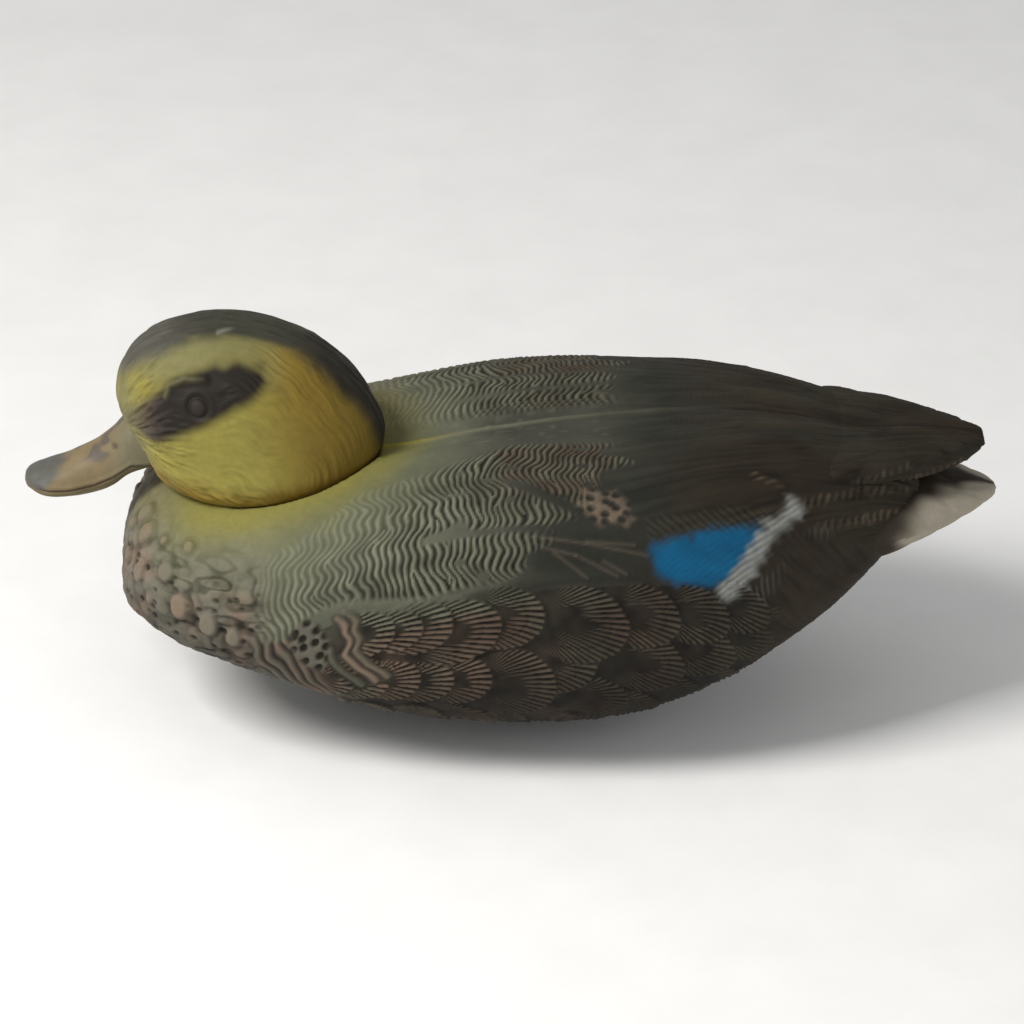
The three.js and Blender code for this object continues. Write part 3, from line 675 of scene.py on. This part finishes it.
def lay_breast(skin):
    """Rough scales, pits and short worm-like grooves on the breast."""
    x, y, z = skin.x, np.abs(skin.y), skin.z
    zone = fade(-74, -88, x + 0.35 * (z - 60)) * fade(98, 88, z) * fade(26, 38, z)
    rough = fade(90, 74, z) * 0.8 + 0.2
    scales = scatter(101, x / 6.2, y / 6.2, z / 5.0)
    dome = fade(0.72, 0.15, scales)
    gap = fade(0.56, 0.74, scales) * rough
    hole = fade(0.34, 0.16, scatter(105, x / 5.8, y / 5.8, z / 4.4)) * fade(82, 68, z)
    worms = fade(0.26, 0.08, np.abs(noise(103, x / 7.5, y / 7.5, z / 3.2))) * rough
    worms *= fade(-136, -118, x + 0.3 * (z - 70)) * fade(94, 86, z)
    blotch = noise(102, x / 9, y / 9, z / 7)
    pinkish = np.clip(0.1 + 0.9 * blotch, 0, 1) * fade(82, 70, z)
    base = mix(BREAST, BREAST_PINK, pinkish)
    # Scales lighter on their domes; painted shade darkens the breast towards the bottom.
    base *= ((0.86 + 0.20 * dome) * (1 - 0.50 * fade(70, 38, z)))[..., None]
    # Painted shade in the gaps, pits and worm grooves.
    dark = np.clip(0.35 * gap + 0.75 * hole + 0.62 * worms, 0, 1)
    skin.lay(zone, 0.5 * dome * rough - 0.65 * hole - 0.5 * worms - 0.2, mix(base, PIT_SHADE, dark))


def lay_knobs(skin):
    for k, (kx, ky, kz, size) in enumerate(KNOBS):
        away = np.sqrt((skin.x - kx) ** 2 + (np.abs(skin.y) + ky) ** 2 + ((skin.z - kz) * 0.8) ** 2)
        away *= 1 + 0.16 * noise(104, skin.x / 4, skin.z / 4)
        cover = fade(size * 1.2, size * 0.7, away)
        dome = 1.1 * np.sqrt(np.clip(1 - (away / (size * 1.3)) ** 2, 0, 1))
        ring = bump(away - size * 1.35, 0.8) * fade(0.8, -0.4, noise(106, skin.x / 5, skin.z / 5))
        # Painted shade in the groove round each knob.
        skin.height -= 0.6 * ring
        skin.tint(0.35 * ring, PIT_SHADE)
        tone = mix(BREAST, BREAST_PINK, 0.15 + 0.3 * (k % 3)) * (0.82 + 0.18 * cover[..., None])
        skin.lay(cover, dome, tone)


def lay_slanting_ridges(skin):
    """Straight ridges between the breast and the first flank feathers, and a pitted patch."""
    x, q = skin.x, skin.q
    outline = [(-95, 94), (-86, 92), (-78, 99), (-68, 120), (-60, 140), (-72, 146), (-86, 122)]
    zone = inside(outline, x, q, 2.5)
    turn = TURN * (x - 0.45 * q + 1.6 * skin.mottle(111, 8, 8)) / 3.7
    ridge = (0.5 + 0.5 * np.cos(turn)) ** 0.8
    crest = mix(BREAST * 0.75, PINK_RIDGE, 0.5 + 0.5 * skin.mottle(113, 7, 7))
    # Painted shade between the slanting ridges, lighter on their crests.
    skin.lay(zone, 0.8 * (ridge - 0.4), mix(PIT_SHADE, crest, ridge))
    outline = [(-79, 92), (-71, 92), (-66, 102), (-67, 114), (-74, 111), (-80, 101)]
    patch = inside(outline, x, q, 1.8)
    hole = fade(0.46, 0.26, scatter(112, x / 4.2, q / 4.6))
    # Painted shade in the pits of the patch.
    skin.lay(patch, 0.4 - 1.0 * hole, mix(BREAST * 0.72, PIT_SHADE, hole))


def lay_belly(skin):
    """The underside is plain where the keel and the drain sit."""
    zone = fade(24, 15, skin.z) * fade(62, 46, np.abs(skin.y))
    skin.lay(zone, -0.25, BELLY * (1 + 0.1 * noise(121, skin.x / 8, skin.y / 8)[..., None]))


def lay_seam(skin):
    """Bead of the parting seam along the back, with a painted highlight; aft it is a groove with painted
    shade.
    """
    x, q = skin.x, skin.q
    bead = bump(q, 1.4) * fade(84, 60, x) * fade(-128, -110, x)
    groove = bump(q, 1.2) * fade(72, 88, x)
    skin.height += 0.8 * bead - 0.6 * groove
    # Painted highlight on the bead, turning to the yellow overspray near the head; painted shade in the
    # groove aft.
    highlight_and_overspray = mix(SEAM_HIGHLIGHT, GLOW, fade(-15, -45, x))
    skin.tint(bead * (0.85 - 0.70 * fade(-20, 60, x)) * fade(-120, -90, x), highlight_and_overspray)
    skin.tint(0.6 * groove, FLANK_GROOVE_SHADE)


def lay_glow(skin):
    """Soft yellow overspray round the foot of the head."""
    x, y, z = skin.x, skin.y, skin.z
    away = np.hypot(x - NECK_X, y) + 0.55 * np.maximum(96 - z, 0)
    away += 2.5 * skin.mottle(131, 9, 9)
    above = fade(48, 64, z)
    strength = fade(68, 45, away) * (1 - 0.75 * fade(-112, -132, x)) * above
    skin.tint((0.40 if skin.side > 0 else 0.90) * strength, GLOW)
    halo = fade(88, 60, away) * fade(-140, -120, x) * above * (0.3 if skin.side > 0 else 1.0)
    skin.tint(0.45 * halo, HALO)


def carve_body(skin):
    lay_ground(skin)
    lay_feather_edges(skin)
    lay_flank(skin)
    lay_rim_band(skin)
    lay_breast(skin)
    lay_slanting_ridges(skin)
    lay_waves(skin)
    lay_pocked_patch(skin)
    lay_shafts(skin)
    lay_wing(skin)
    lay_coloured_patch(skin)
    lay_rear_flank(skin)
    lay_rear_dashes(skin)
    lay_knobs(skin)
    lay_belly(skin)
    lay_glow(skin)
    lay_seam(skin)


# ---- making meshes ----
DARKEST = 0.002
WALL_PLACE = 0.02
CAP_RINGS = 9
CAP_BULGE = 0.9


def to_frame(points):
    return points * UNIT + ORIGIN


def new_object(name, data):
    thing = bpy.data.objects.new(name, data)
    bpy.context.scene.collection.objects.link(thing)
    return thing


def make_piece(name, points, faces, paint, material):
    points = np.reshape(points, (-1, 3))
    mesh = bpy.data.meshes.new(name)
    mesh.from_pydata(to_frame(points).tolist(), [], faces)
    mesh.validate()
    mesh.shade_smooth()
    layer = mesh.attributes.new("paint", "FLOAT_COLOR", "POINT")
    values = np.ones((len(points), 4), np.float32)
    values[:, :3] = np.clip(np.reshape(paint, (-1, 3)), DARKEST, 1)
    layer.data.foreach_set("color", values.ravel())
    mesh.update()
    mesh.materials.append(material)
    return new_object(name, mesh)


def closed_faces(columns, rows):
    """Faces of a grid whose columns close on themselves, and of its two ends."""
    faces = []
    for c in range(columns - 1):
        for r in range(rows):
            n = (r + 1) % rows
            faces.append((c * rows + r, c * rows + n, (c + 1) * rows + n, (c + 1) * rows + r))
    faces.append(tuple(range(rows))[::-1])
    faces.append(tuple((columns - 1) * rows + r for r in range(rows)))
    return faces


def half_piece(name, skin, points, material):
    """Mesh of one half: outer skin, flat wall just off the middle plane, and the two ends."""
    points[:, [0, -1], 1] = skin.side * WALL_PLACE
    faces = closed_faces(*skin.x.shape)
    if skin.side < 0:
        faces = [face[::-1] for face in faces]
    return make_piece(name, points, faces, skin.paint, material)


def with_caps(x, y, z, q):
    """Adds shrinking rings at both ends, so that the ends are rounded instead of flat."""
    shrink = np.cos(np.linspace(0.12, math.pi / 2 - 0.03, CAP_RINGS))[:, None]
    ends = []
    for c, sign in ((0, -1), (-1, 1)):
        middle = (z[c].max() + z[c].min()) / 2
        along = x[c] + sign * CAP_BULGE * (1 - shrink)
        ends.append((along, y[c] * shrink, middle + (z[c] - middle) * shrink, q[c] * shrink))
    fields = zip(ends[0], (x, y, z, q), ends[1])
    return [np.concatenate([front[::-1], whole, rear]) for front, whole, rear in fields]


def sections(rows, spacing, shares, low_square=LOW_SQUARE, samples=400):
    """Evenly spaced half sections with rounded ends: x, y, z and girth."""
    frames = between(rows, spaced_places(rows, spacing))
    y, z, q = walk(*half_section(frames, low_square, samples), shares)
    return with_caps(np.repeat(frames[:, :1], len(shares), axis=1), y, z, q)


def section_skin(rows, spacing, shares, side):
    x, y, z, q = sections(rows, spacing, shares)
    return Skin(x, side * y, z, q, side)


def sink_dish(points):
    """Lowers the body's top to the dish under the head; returns where it did."""
    radius = np.hypot(points[..., 0] - NECK_X, points[..., 1])
    floor = np.interp(radius, [r for r, _ in DISH], [h for _, h in DISH])
    sunk = points[..., 2] > floor
    points[sunk, 2] = floor[sunk]
    return sunk


def sink_drain(points):
    """Round pocket in the underside for the drain plug."""
    along, across, radius, seat = DRAIN
    away = np.hypot(points[..., 0] - along, points[..., 1] - across)
    low = points[..., 2] < seat + 6
    rim = low & (np.abs(away - radius) < 0.8)
    scale = np.where(rim, radius / np.maximum(away, 0.1), 1)[..., None]
    points[..., :2] = (along, across) + (points[..., :2] - (along, across)) * scale
    pocket = low & ~rim & (away < radius)
    points[pocket, 2] = np.maximum(points[pocket, 2], seat)


def body_shares():
    """Rows down a body half: finest over the ribbed flank feathers, coarse underneath."""
    spans = ((0, 0.013, 5), (0.013, 0.065, 7), (0.065, 0.39, 92), (0.39, 0.68, 102), (0.68, 1, 14))
    return np.concatenate([np.linspace(a, b, n, endpoint=False) for a, b, n in spans] + [[1.0]])


def body_spacing(x):
    return np.where((x > -142) & (x < 112), 0.66, 1.0)


def body_half(name, side, material):
    skin = section_skin(HULL, body_spacing, body_shares(), side)
    carve_body(skin)
    points = skin.raised()
    skin.tint(0.6 * sink_dish(points), NECK_SEAT)
    if side > 0:
        sink_drain(points)
    return half_piece(name, skin, points, material)


def wing_tip_half(name, side, material):
    skin = section_skin(WING_TIPS, lambda x: 0.6, np.linspace(0, 1, 120), side)
    lay_ground(skin)
    skin.tint(1, WING_REAR)
    lay_wing(skin)
    lay_rear_dashes(skin)
    lay_seam(skin)
    points = skin.raised()
    scallop = np.abs(np.sin(math.pi * (skin.x + 0.7 * skin.q - 152) / 15.5))
    points[..., 1] = points[..., 1] * (1 + 0.05 * (scallop - 0.6) * fade(112, 126, skin.x))
    return half_piece(name, skin, points, material)


def tail_fan_half(name, side, material):
    skin = section_skin(TAIL_FAN, lambda x: 0.8, np.linspace(0, 1, 100), side)
    x, q = skin.x, skin.q
    feathers = np.abs(np.sin((q - 0.5 * (x - 180)) * math.pi / 15))
    streak = noise(141, x / 20, (q + 0.3 * x) / 1.8)
    skin.height = 0.5 * feathers ** 0.5 + 0.08 * streak
    along, wide, _, _, belt = zip(*(row[:5] for row in TAIL_FAN))
    share = np.abs(skin.y) / np.maximum(np.interp(x, along, wide), 1)
    share = np.where(skin.z < np.interp(x, along, belt), 1.2, share)
    edge = np.interp(x, [112, 138, 150, 165, 177], [1.15, 1.05, 0.88, 0.58, 0.15])
    edge += 0.15 * skin.mottle(142, 9, 6)
    tone = mix(TAIL_DARK, TAIL_PALE, fade(edge - 0.22, edge + 0.22, share))
    tone = mix(tone, TAIL_ROOT, fade(149, 137, x + 3 * skin.mottle(143, 5, 5)))
    skin.paint = tone * (1 + 0.05 * streak[..., None])
    return half_piece(name, skin, skin.raised(), material)


# ---- head ----
EYE_STRIPE = [(-143.5, 119), (-133.5, 116.5), (-130, 115.5), (-125.5, 117.5), (-119.5, 121),
              (-110.5, 125.5), (-101.5, 130.5), (-92.5, 134.5), (-87.5, 139), (-90.5, 143),
              (-99, 145.2), (-108, 144.8), (-117, 142.5), (-123.5, 139.8), (-128, 135), (-135.5, 128.5)]
CROWN_EDGE = [(-143, 134), (-133.5, 142), (-123, 147.2), (-115.5, 150), (-103.5, 151.5), (-90, 149.5),
              (-81, 146), (-75, 142), (-68, 136.5), (-62, 130), (-56, 123.5), (-52, 117), (-49, 107),
              (-48, 94), (-30, 94), (-30, 170), (-150, 170), (-150, 134)]
BILL_ROOT = (-142.0, 112.0)
BILL_SQUARE = 2.2


def head_strokes(skin, normal_y):
    """Short chopped strokes spreading back from the bill, turning down behind the cheek."""
    x, y, z = skin.x, skin.y, skin.z
    ahead, up = x - BILL_ROOT[0], z - BILL_ROOT[1]
    away = np.hypot(ahead, up)
    angle = np.arctan2(up, ahead) + 0.00022 * np.maximum(away - 28, 0) ** 2
    angle += 0.05 * noise(201, x / 9, z / 9)
    fan = angle * (14 + 0.35 * away)
    side = 0.65 * noise(202, away / 5.5, fan) + 0.45 * noise(203, away / 3.2, fan * 1.9)
    side *= np.clip(0.65 + 0.9 * noise(206, x / 11, z / 9), 0.15, 1.4)
    side *= 1 - 0.4 * fade(-108, -80, x) + 0.5 * fade(-118, -132, x)
    top = 0.8 * noise(204, x / 6, y / 1.5 + 40)
    lean = fade(0.15, 0.6, np.abs(normal_y))
    return top * (1 - lean) + side * lean


def paint_head(skin, strokes):
    x, y, z = skin.x, np.abs(skin.y), skin.z
    jag = 1.6 * noise(211, x / 4, z / 2.4) + 1.6 * strokes
    # Darker ochre towards the back and the bottom of the head: partly ochre paint, partly painted shade.
    rear = 0.85 * fade(-98, -66, x + 0.25 * (z - 115)) + 0.8 * fade(106, 97, z + jag * 0.5)
    skin.paint = mix(CHEEK, OCHRE, np.clip(rear, 0, 1))
    skin.tint(0.7 * fade(-127, -139, x) * fade(130, 112, z), LORE)
    skin.paint *= 1 + 0.20 * strokes[..., None] + 0.07 * noise(212, x / 10, z / 8, y / 12)[..., None]
    stripe = inside(EYE_STRIPE, x + 0.45 * jag, z + 0.45 * jag, 2.8)
    mauve = mix(STRIPE, MAUVE, fade(-122, -138, x))
    mauve *= 1 + 0.25 * strokes[..., None]
    skin.tint(stripe * (1 - 0.35 * fade(-128, -142, x)), mauve)
    crown = inside(CROWN_EDGE, x, z + 0.3 * jag, 2.2)
    crown_tone = mix(CROWN, FOREHEAD, fade(-112, -132, x))
    crown_tone = mix(crown_tone, NAPE, fade(-88, -64, x))
    crown_tone *= 1 + 0.16 * strokes[..., None]
    front = fade(11, 7, y + 0.4 * jag) * fade(-131, -137, x) * fade(128, 136, z)
    strip = fade(14, 9, y) * fade(140, 146, z)
    skin.tint(0.7 * fade(133, 141, z) * fade(-76, -98, x) * (1 - stripe), BROW)
    skin.tint(np.maximum(np.maximum(crown, strip), front), crown_tone)
    skin.tint(0.5 * fade(-133, -141, x) * fade(118, 124, z) * fade(140, 132, z), FACE_FRONT)
    # A short pale mark along the top of the head, on both sides.
    pale_mark_away = from_path([(-107, 151.8), (-100, 153.2)], x, z)
    skin.tint(0.5 * bump(pale_mark_away, 0.5) * fade(6, 9, y) * fade(14, 11, y), PALE_MARK)


def lay_face(skin):
    """Moulded eye in its ring, the brow over it."""
    x, y, z = skin.x, skin.y, skin.z
    away = np.hypot(x - EYE[0], (z - EYE[1]) * 1.05)
    dome = np.sqrt(np.clip(1 - (away / EYE_R) ** 2, 0, 1))
    near = fade(2, 8, np.abs(y))
    ring = EYE_R + 0.6
    skin.height = skin.height * (1 - 0.9 * near * fade(EYE_R + 4.0, EYE_R + 1.8, away))
    skin.height += near * (0.9 * dome - 0.45 * bump(away - ring, 0.8))
    skin.height += near * 0.25 * bump(away - ring - 1.7, 0.9)
    brow = from_path([(-125.5, 133.5), (-124, 137.3), (-118.5, 139.8), (-111, 140.2)], x, z)
    skin.height += near * 1.0 * bump(brow, 1.4)
    # Painted highlight along the brow ridge.
    skin.tint(0.4 * near * bump(brow, 0.9) * fade(-110, -117, x), BROW_HIGHLIGHT)
    lens = near * fade(EYE_R, EYE_R * 0.85, away)
    skin.tint(0.8 * lens, LENS)
    # Painted shade in the groove round the eye.
    skin.tint(0.25 * near * bump(away - ring, 0.8), EYE_RING_SHADE)


HEAD_LEVELS = 170
HEAD_COLUMNS = 460
HEAD_MIDDLE = 115


def head_skin(name, material):
    """The head's carved outside, closed below by the ledge and pocket the plug sits in."""
    levels = between(HEAD, np.linspace(0, len(HEAD) - 1, 900))
    length = np.hypot(np.diff((levels[:, 1] + levels[:, 2]) / 2), np.diff(levels[:, 0]))
    run = np.concatenate([[0], np.cumsum(length)])
    step = np.linspace(0, run[-1], HEAD_LEVELS)
    level, front, back, wide = (np.interp(step, run, column)[:, None] for column in levels.T)
    angle = np.linspace(0, TURN, HEAD_COLUMNS, endpoint=False)
    x = NECK_X + (back - front) / 2 + (front + back) / 2 * np.cos(angle)
    y = wide * np.sin(angle)
    z = np.repeat(level, HEAD_COLUMNS, axis=1)
    skin = Skin(x, y, z, np.zeros_like(x), 1)
    skin.normal = outward_normals(skin.grid, [NECK_X, 0, HEAD_MIDDLE], wrap=True)
    strokes = head_strokes(skin, skin.normal[..., 1])
    foot = fade(94.2, 97, z)
    skin.height = foot * (0.62 * strokes + 0.35 * noise(205, x / 12, z / 10, y / 14 + 20))
    paint_head(skin, strokes)
    lay_face(skin)
    rings = list(skin.raised())
    tones = list(skin.paint)
    for radius, height in ((PLUG_R, HEAD[0][0]), (PLUG_R, PLUG_POCKET), (0.5, PLUG_POCKET)):
        level = np.full(HEAD_COLUMNS, height, float)
        ring = [NECK_X + radius * np.cos(angle), radius * np.sin(angle), level]
        rings.insert(0, np.stack(ring, axis=-1))
    crest = rings[-1].mean(axis=0) + [0, 0, 0.15]
    rings.append(crest + (rings[-1] - crest) * 0.4)
    tones = [tones[0]] * 3 + tones + [tones[-1]]
    return make_piece(name, np.array(rings), closed_faces(len(rings), HEAD_COLUMNS), tones, material)


def bill_skin(name, material):
    """Both mandibles in one moulding, with the mouth line, nostrils and nail carved in."""
    x, y, z, q = sections(BILL, lambda x: 0.35, np.linspace(0, 1, 110), BILL_SQUARE, 300)
    signed = ((x, 1), (y, -1), (z, 1), (q, 1))
    x, y, z, q = (np.concatenate([v, sign * v[:, -2:0:-1]], axis=1) for v, sign in signed)
    skin = Skin(x, y, z, q, 1)
    low = np.interp(x, [-180, -172, -164, -154, -147, -140], [86.2, 84.6, 84.9, 86.8, 90.2, 95.4])
    mouth = bump(z - low - 2.4, 0.45) * fade(-176, -172, x)
    lip = bump(z - low - 3.8, 0.9) * fade(-177, -172, x)
    skin.height = 0.35 * lip - 0.7 * mouth + 0.12 * noise(301, x / 5, y / 4, z / 4)
    nostril = bump(np.hypot((x + 146.5) * 0.7 - 0.2 * (z - 104), z - 104.5), 1.0) * fade(3, 6, np.abs(y))
    skin.height -= 0.8 * nostril
    nail = inside([(-181, 80), (-171.5, 96), (-171.5, 99), (-183, 99)], x, z - 0.2 * np.abs(y), 1.0)
    nail *= fade(7.5, 4.5, np.abs(y))
    skin.height += 0.35 * nail
    skin.paint = BILL_CREAM * (1 + 0.07 * noise(302, x / 6, z / 5, y / 5)[..., None])
    skin.tint(fade(-152, -140, x), BILL_BASE)
    tip = fade(-168, -173, x + 1.2 * noise(303, y / 3, z / 3) - 0.8 * (z - 90))
    skin.tint(tip, BILL_NAIL)
    saddle = inside([(-160, 98), (-153, 98), (-148, 101), (-143, 107), (-141, 116), (-162, 116)],
                    x + 1.8 * noise(304, x / 3, z / 3), z, 1.6)
    patch = saddle * fade(-0.05, 0.4, noise(305, x / 4.5, y / 4 + 30, z / 4) + 0.05)
    skin.tint(0.65 * patch, BILL_GREY)
    skin.tint(fade(low + 2.4, low + 1.4, z), BILL_UNDER)
    skin.tint(0.7 * mouth, MOUTH)
    skin.tint(0.8 * nostril, NOSTRIL)
    return make_piece(name, skin.raised(), closed_faces(*x.shape), skin.paint, material)


# ---- materials ----
def new_material(name):
    material = bpy.data.materials.new(name)
    material.use_nodes = True
    tree = material.node_tree
    tree.nodes.clear()
    out = tree.nodes.new("ShaderNodeOutputMaterial")
    shader = tree.nodes.new("ShaderNodeBsdfPrincipled")
    tree.links.new(shader.outputs["BSDF"], out.inputs["Surface"])
    return material, tree, shader


def noise_node(tree, cell_mm, detail=4.0, rough=0.6):
    place = tree.nodes.new("ShaderNodeTexCoord")
    node = tree.nodes.new("ShaderNodeTexNoise")
    node.inputs["Scale"].default_value = 1 / (cell_mm * UNIT)
    node.inputs["Detail"].default_value = detail
    node.inputs["Roughness"].default_value = rough
    tree.links.new(place.outputs["Object"], node.inputs["Vector"])
    return node.outputs["Fac"]


def ramp_node(tree, source, low, high):
    node = tree.nodes.new("ShaderNodeMapRange")
    for key, value in (("From Min", 0.3), ("From Max", 0.7), ("To Min", low), ("To Max", high)):
        node.inputs[key].default_value = value
    tree.links.new(source, node.inputs["Value"])
    return node.outputs["Result"]


def add_bump(tree, shader, source, depth_mm):
    node = tree.nodes.new("ShaderNodeBump")
    node.inputs["Distance"].default_value = depth_mm * UNIT
    tree.links.new(source, node.inputs["Height"])
    tree.links.new(node.outputs["Normal"], shader.inputs["Normal"])


def painted_material(name, rough_low, rough_high, depth_mm):
    """Hand paint over moulded plastic: the carved colour, mottled, with uneven sheen."""
    material, tree, shader = new_material(name)
    paint = tree.nodes.new("ShaderNodeAttribute")
    paint.attribute_name = "paint"
    mottle = noise_node(tree, 3.0, 6.0, 0.7)
    shade = tree.nodes.new("ShaderNodeMix")
    shade.data_type = "RGBA"
    shade.blend_type = "MULTIPLY"
    shade.inputs["Factor"].default_value = 1.0
    tree.links.new(paint.outputs["Color"], shade.inputs["A"])
    tree.links.new(ramp_node(tree, mottle, 0.90, 1.08), shade.inputs["B"])
    tree.links.new(shade.outputs["Result"], shader.inputs["Base Color"])
    gloss = ramp_node(tree, noise_node(tree, 9.0), rough_low, rough_high)
    tree.links.new(gloss, shader.inputs["Roughness"])
    add_bump(tree, shader, noise_node(tree, 0.5, 3.0), depth_mm)
    shader.inputs["Specular IOR Level"].default_value = 0.16
    return material


def plain_material(name, first, second, rough, metal, cell_mm, depth_mm):
    """Two close tones in a noise, for the small moulded and metal parts."""
    material, tree, shader = new_material(name)
    grain = noise_node(tree, cell_mm)
    blend = tree.nodes.new("ShaderNodeMix")
    blend.data_type = "RGBA"
    blend.inputs["A"].default_value = (*rgb(*first), 1)
    blend.inputs["B"].default_value = (*rgb(*second), 1)
    tree.links.new(ramp_node(tree, grain, 0, 1), blend.inputs["Factor"])
    tree.links.new(blend.outputs["Result"], shader.inputs["Base Color"])
    gloss = ramp_node(tree, grain, rough * 0.85, min(1, rough * 1.15))
    tree.links.new(gloss, shader.inputs["Roughness"])
    shader.inputs["Metallic"].default_value = metal
    add_bump(tree, shader, grain, depth_mm)
    return material


# Finishes by material slot: name, two close tones, roughness, metal, grain size, grain depth.
FINISHES = {
    "swivel": ("moulded_white", (206, 203, 192), (188, 184, 171), 0.5, 0, 4, 0.03),
    "keel": ("keel_plastic", (66, 62, 54), (50, 47, 41), 0.6, 0, 3, 0.05),
    "seal": ("neck_rubber", (30, 29, 28), (42, 40, 38), 0.75, 0, 2, 0.02),
    "clip": ("spring_steel", (176, 177, 180), (150, 150, 152), 0.32, 1, 1.5, 0.01),
    "ballast": ("cast_iron", (78, 77, 76), (96, 84, 74), 0.7, 0.6, 1.5, 0.08),
    "screw": ("screw_steel", (186, 187, 190), (158, 158, 160), 0.3, 1, 1.0, 0.01),
    "ring": ("dull_brass", (182, 152, 88), (140, 116, 70), 0.38, 1, 1.2, 0.02),
    "plug": ("plug_rubber", (38, 35, 31), (52, 48, 43), 0.7, 0, 1.5, 0.03),
}
CAD_EDGE = 0.25


def finish_cad_nodes():
    """Materials for the CAD parts that stay: keel, screws, rings, neck parts and drain plug."""
    finishes = {slot: plain_material(*row) for slot, row in FINISHES.items()}
    slots = {row["node"]: row["material_slot"] for row in frame["record"]["subparts"]}
    for node, piece in frame["nodes"].items():
        finish = finishes.get(slots[node])
        if finish is None:
            continue
        piece.data.materials.clear()
        piece.data.materials.append(finish)
        edge = piece.modifiers.new("edge", "BEVEL")
        edge.width = CAD_EDGE * UNIT
        edge.segments = 2
        edge.angle_limit = math.radians(40)


# ---- stage ----
VIEW_RAISE = 27.0
FOCAL = 200.0
SENSOR = 36.0
PICTURE_WIDTH = 382.4
AIM = (0.75, 0.0, 73.0)
LIT_POINT = (0, 0, 0.06)


def point_along(thing, direction):
    thing.rotation_mode = "QUATERNION"
    thing.rotation_quaternion = direction.to_track_quat("-Z", "Y")


def add_camera():
    data = bpy.data.cameras.new("view")
    data.lens = FOCAL
    data.sensor_width = SENSOR
    camera = new_object("view", data)
    raised = math.radians(VIEW_RAISE)
    back = Vector((0, -math.cos(raised), math.sin(raised)))
    distance = PICTURE_WIDTH / SENSOR * FOCAL * UNIT
    camera.location = Vector(to_frame(np.array(AIM))) + back * distance
    point_along(camera, -back)
    data.clip_start = distance * 0.05
    data.clip_end = distance * 20
    bpy.context.scene.camera = camera


def add_light(name, place, size, power, colour):
    data = bpy.data.lights.new(name, "AREA")
    data.shape = "RECTANGLE"
    data.size, data.size_y = size
    data.energy = power
    data.color = colour
    light = new_object(name, data)
    light.location = place
    point_along(light, Vector(LIT_POINT) - Vector(place))


def add_stage():
    mesh = bpy.data.meshes.new("floor")
    half = 4.0
    low = ORIGIN[2] - 0.0005
    corners = [(-half, -half, low), (half, -half, low), (half, half, low), (-half, half, low)]
    mesh.from_pydata(corners, [], [(0, 1, 2, 3)])
    mesh.materials.append(plain_material("paper", (236, 236, 235), (240, 240, 239), 0.9, 0, 40, 0.0))
    new_object("floor", mesh)
    add_light("key", (-0.85, -0.45, 1.05), (0.5, 0.5), 19, (1.0, 0.98, 0.95))
    add_light("fill", (0.9, -1.0, 0.7), (1.2, 0.9), 3.2, (0.94, 0.97, 1.0))
    world = bpy.data.worlds.new("sky")
    bpy.context.scene.world = world
    world.use_nodes = True
    sky = world.node_tree.nodes["Background"].inputs
    sky["Color"].default_value = (1, 1, 1, 1)
    sky["Strength"].default_value = 0.42
    bpy.context.scene.view_settings.view_transform = "Standard"


# ---- assembly ----
def build():
    body_paint = painted_material("body_paint", 0.55, 0.75, 0.06)
    head_paint = painted_material("head_paint", 0.50, 0.68, 0.05)
    bill_paint = painted_material("bill_paint", 0.42, 0.6, 0.03)
    for side, word in ((-1, "left"), (1, "right")):
        shell = body_half(f"body_{word}", side, body_paint)
        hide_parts(f"body_{word}_shell")
        tips = wing_tip_half(f"wing_tips_{word}", side, body_paint)
        tail = tail_fan_half(f"tail_fan_{word}", side, body_paint)
        for piece in (shell, tips, tail):
            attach(piece, "hull")
    head = head_skin("head", head_paint)
    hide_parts("head_shell")
    bill = bill_skin("bill", bill_paint)
    for piece in (head, bill):
        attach(piece, "head")
    finish_cad_nodes()


build()
add_stage()
add_camera()
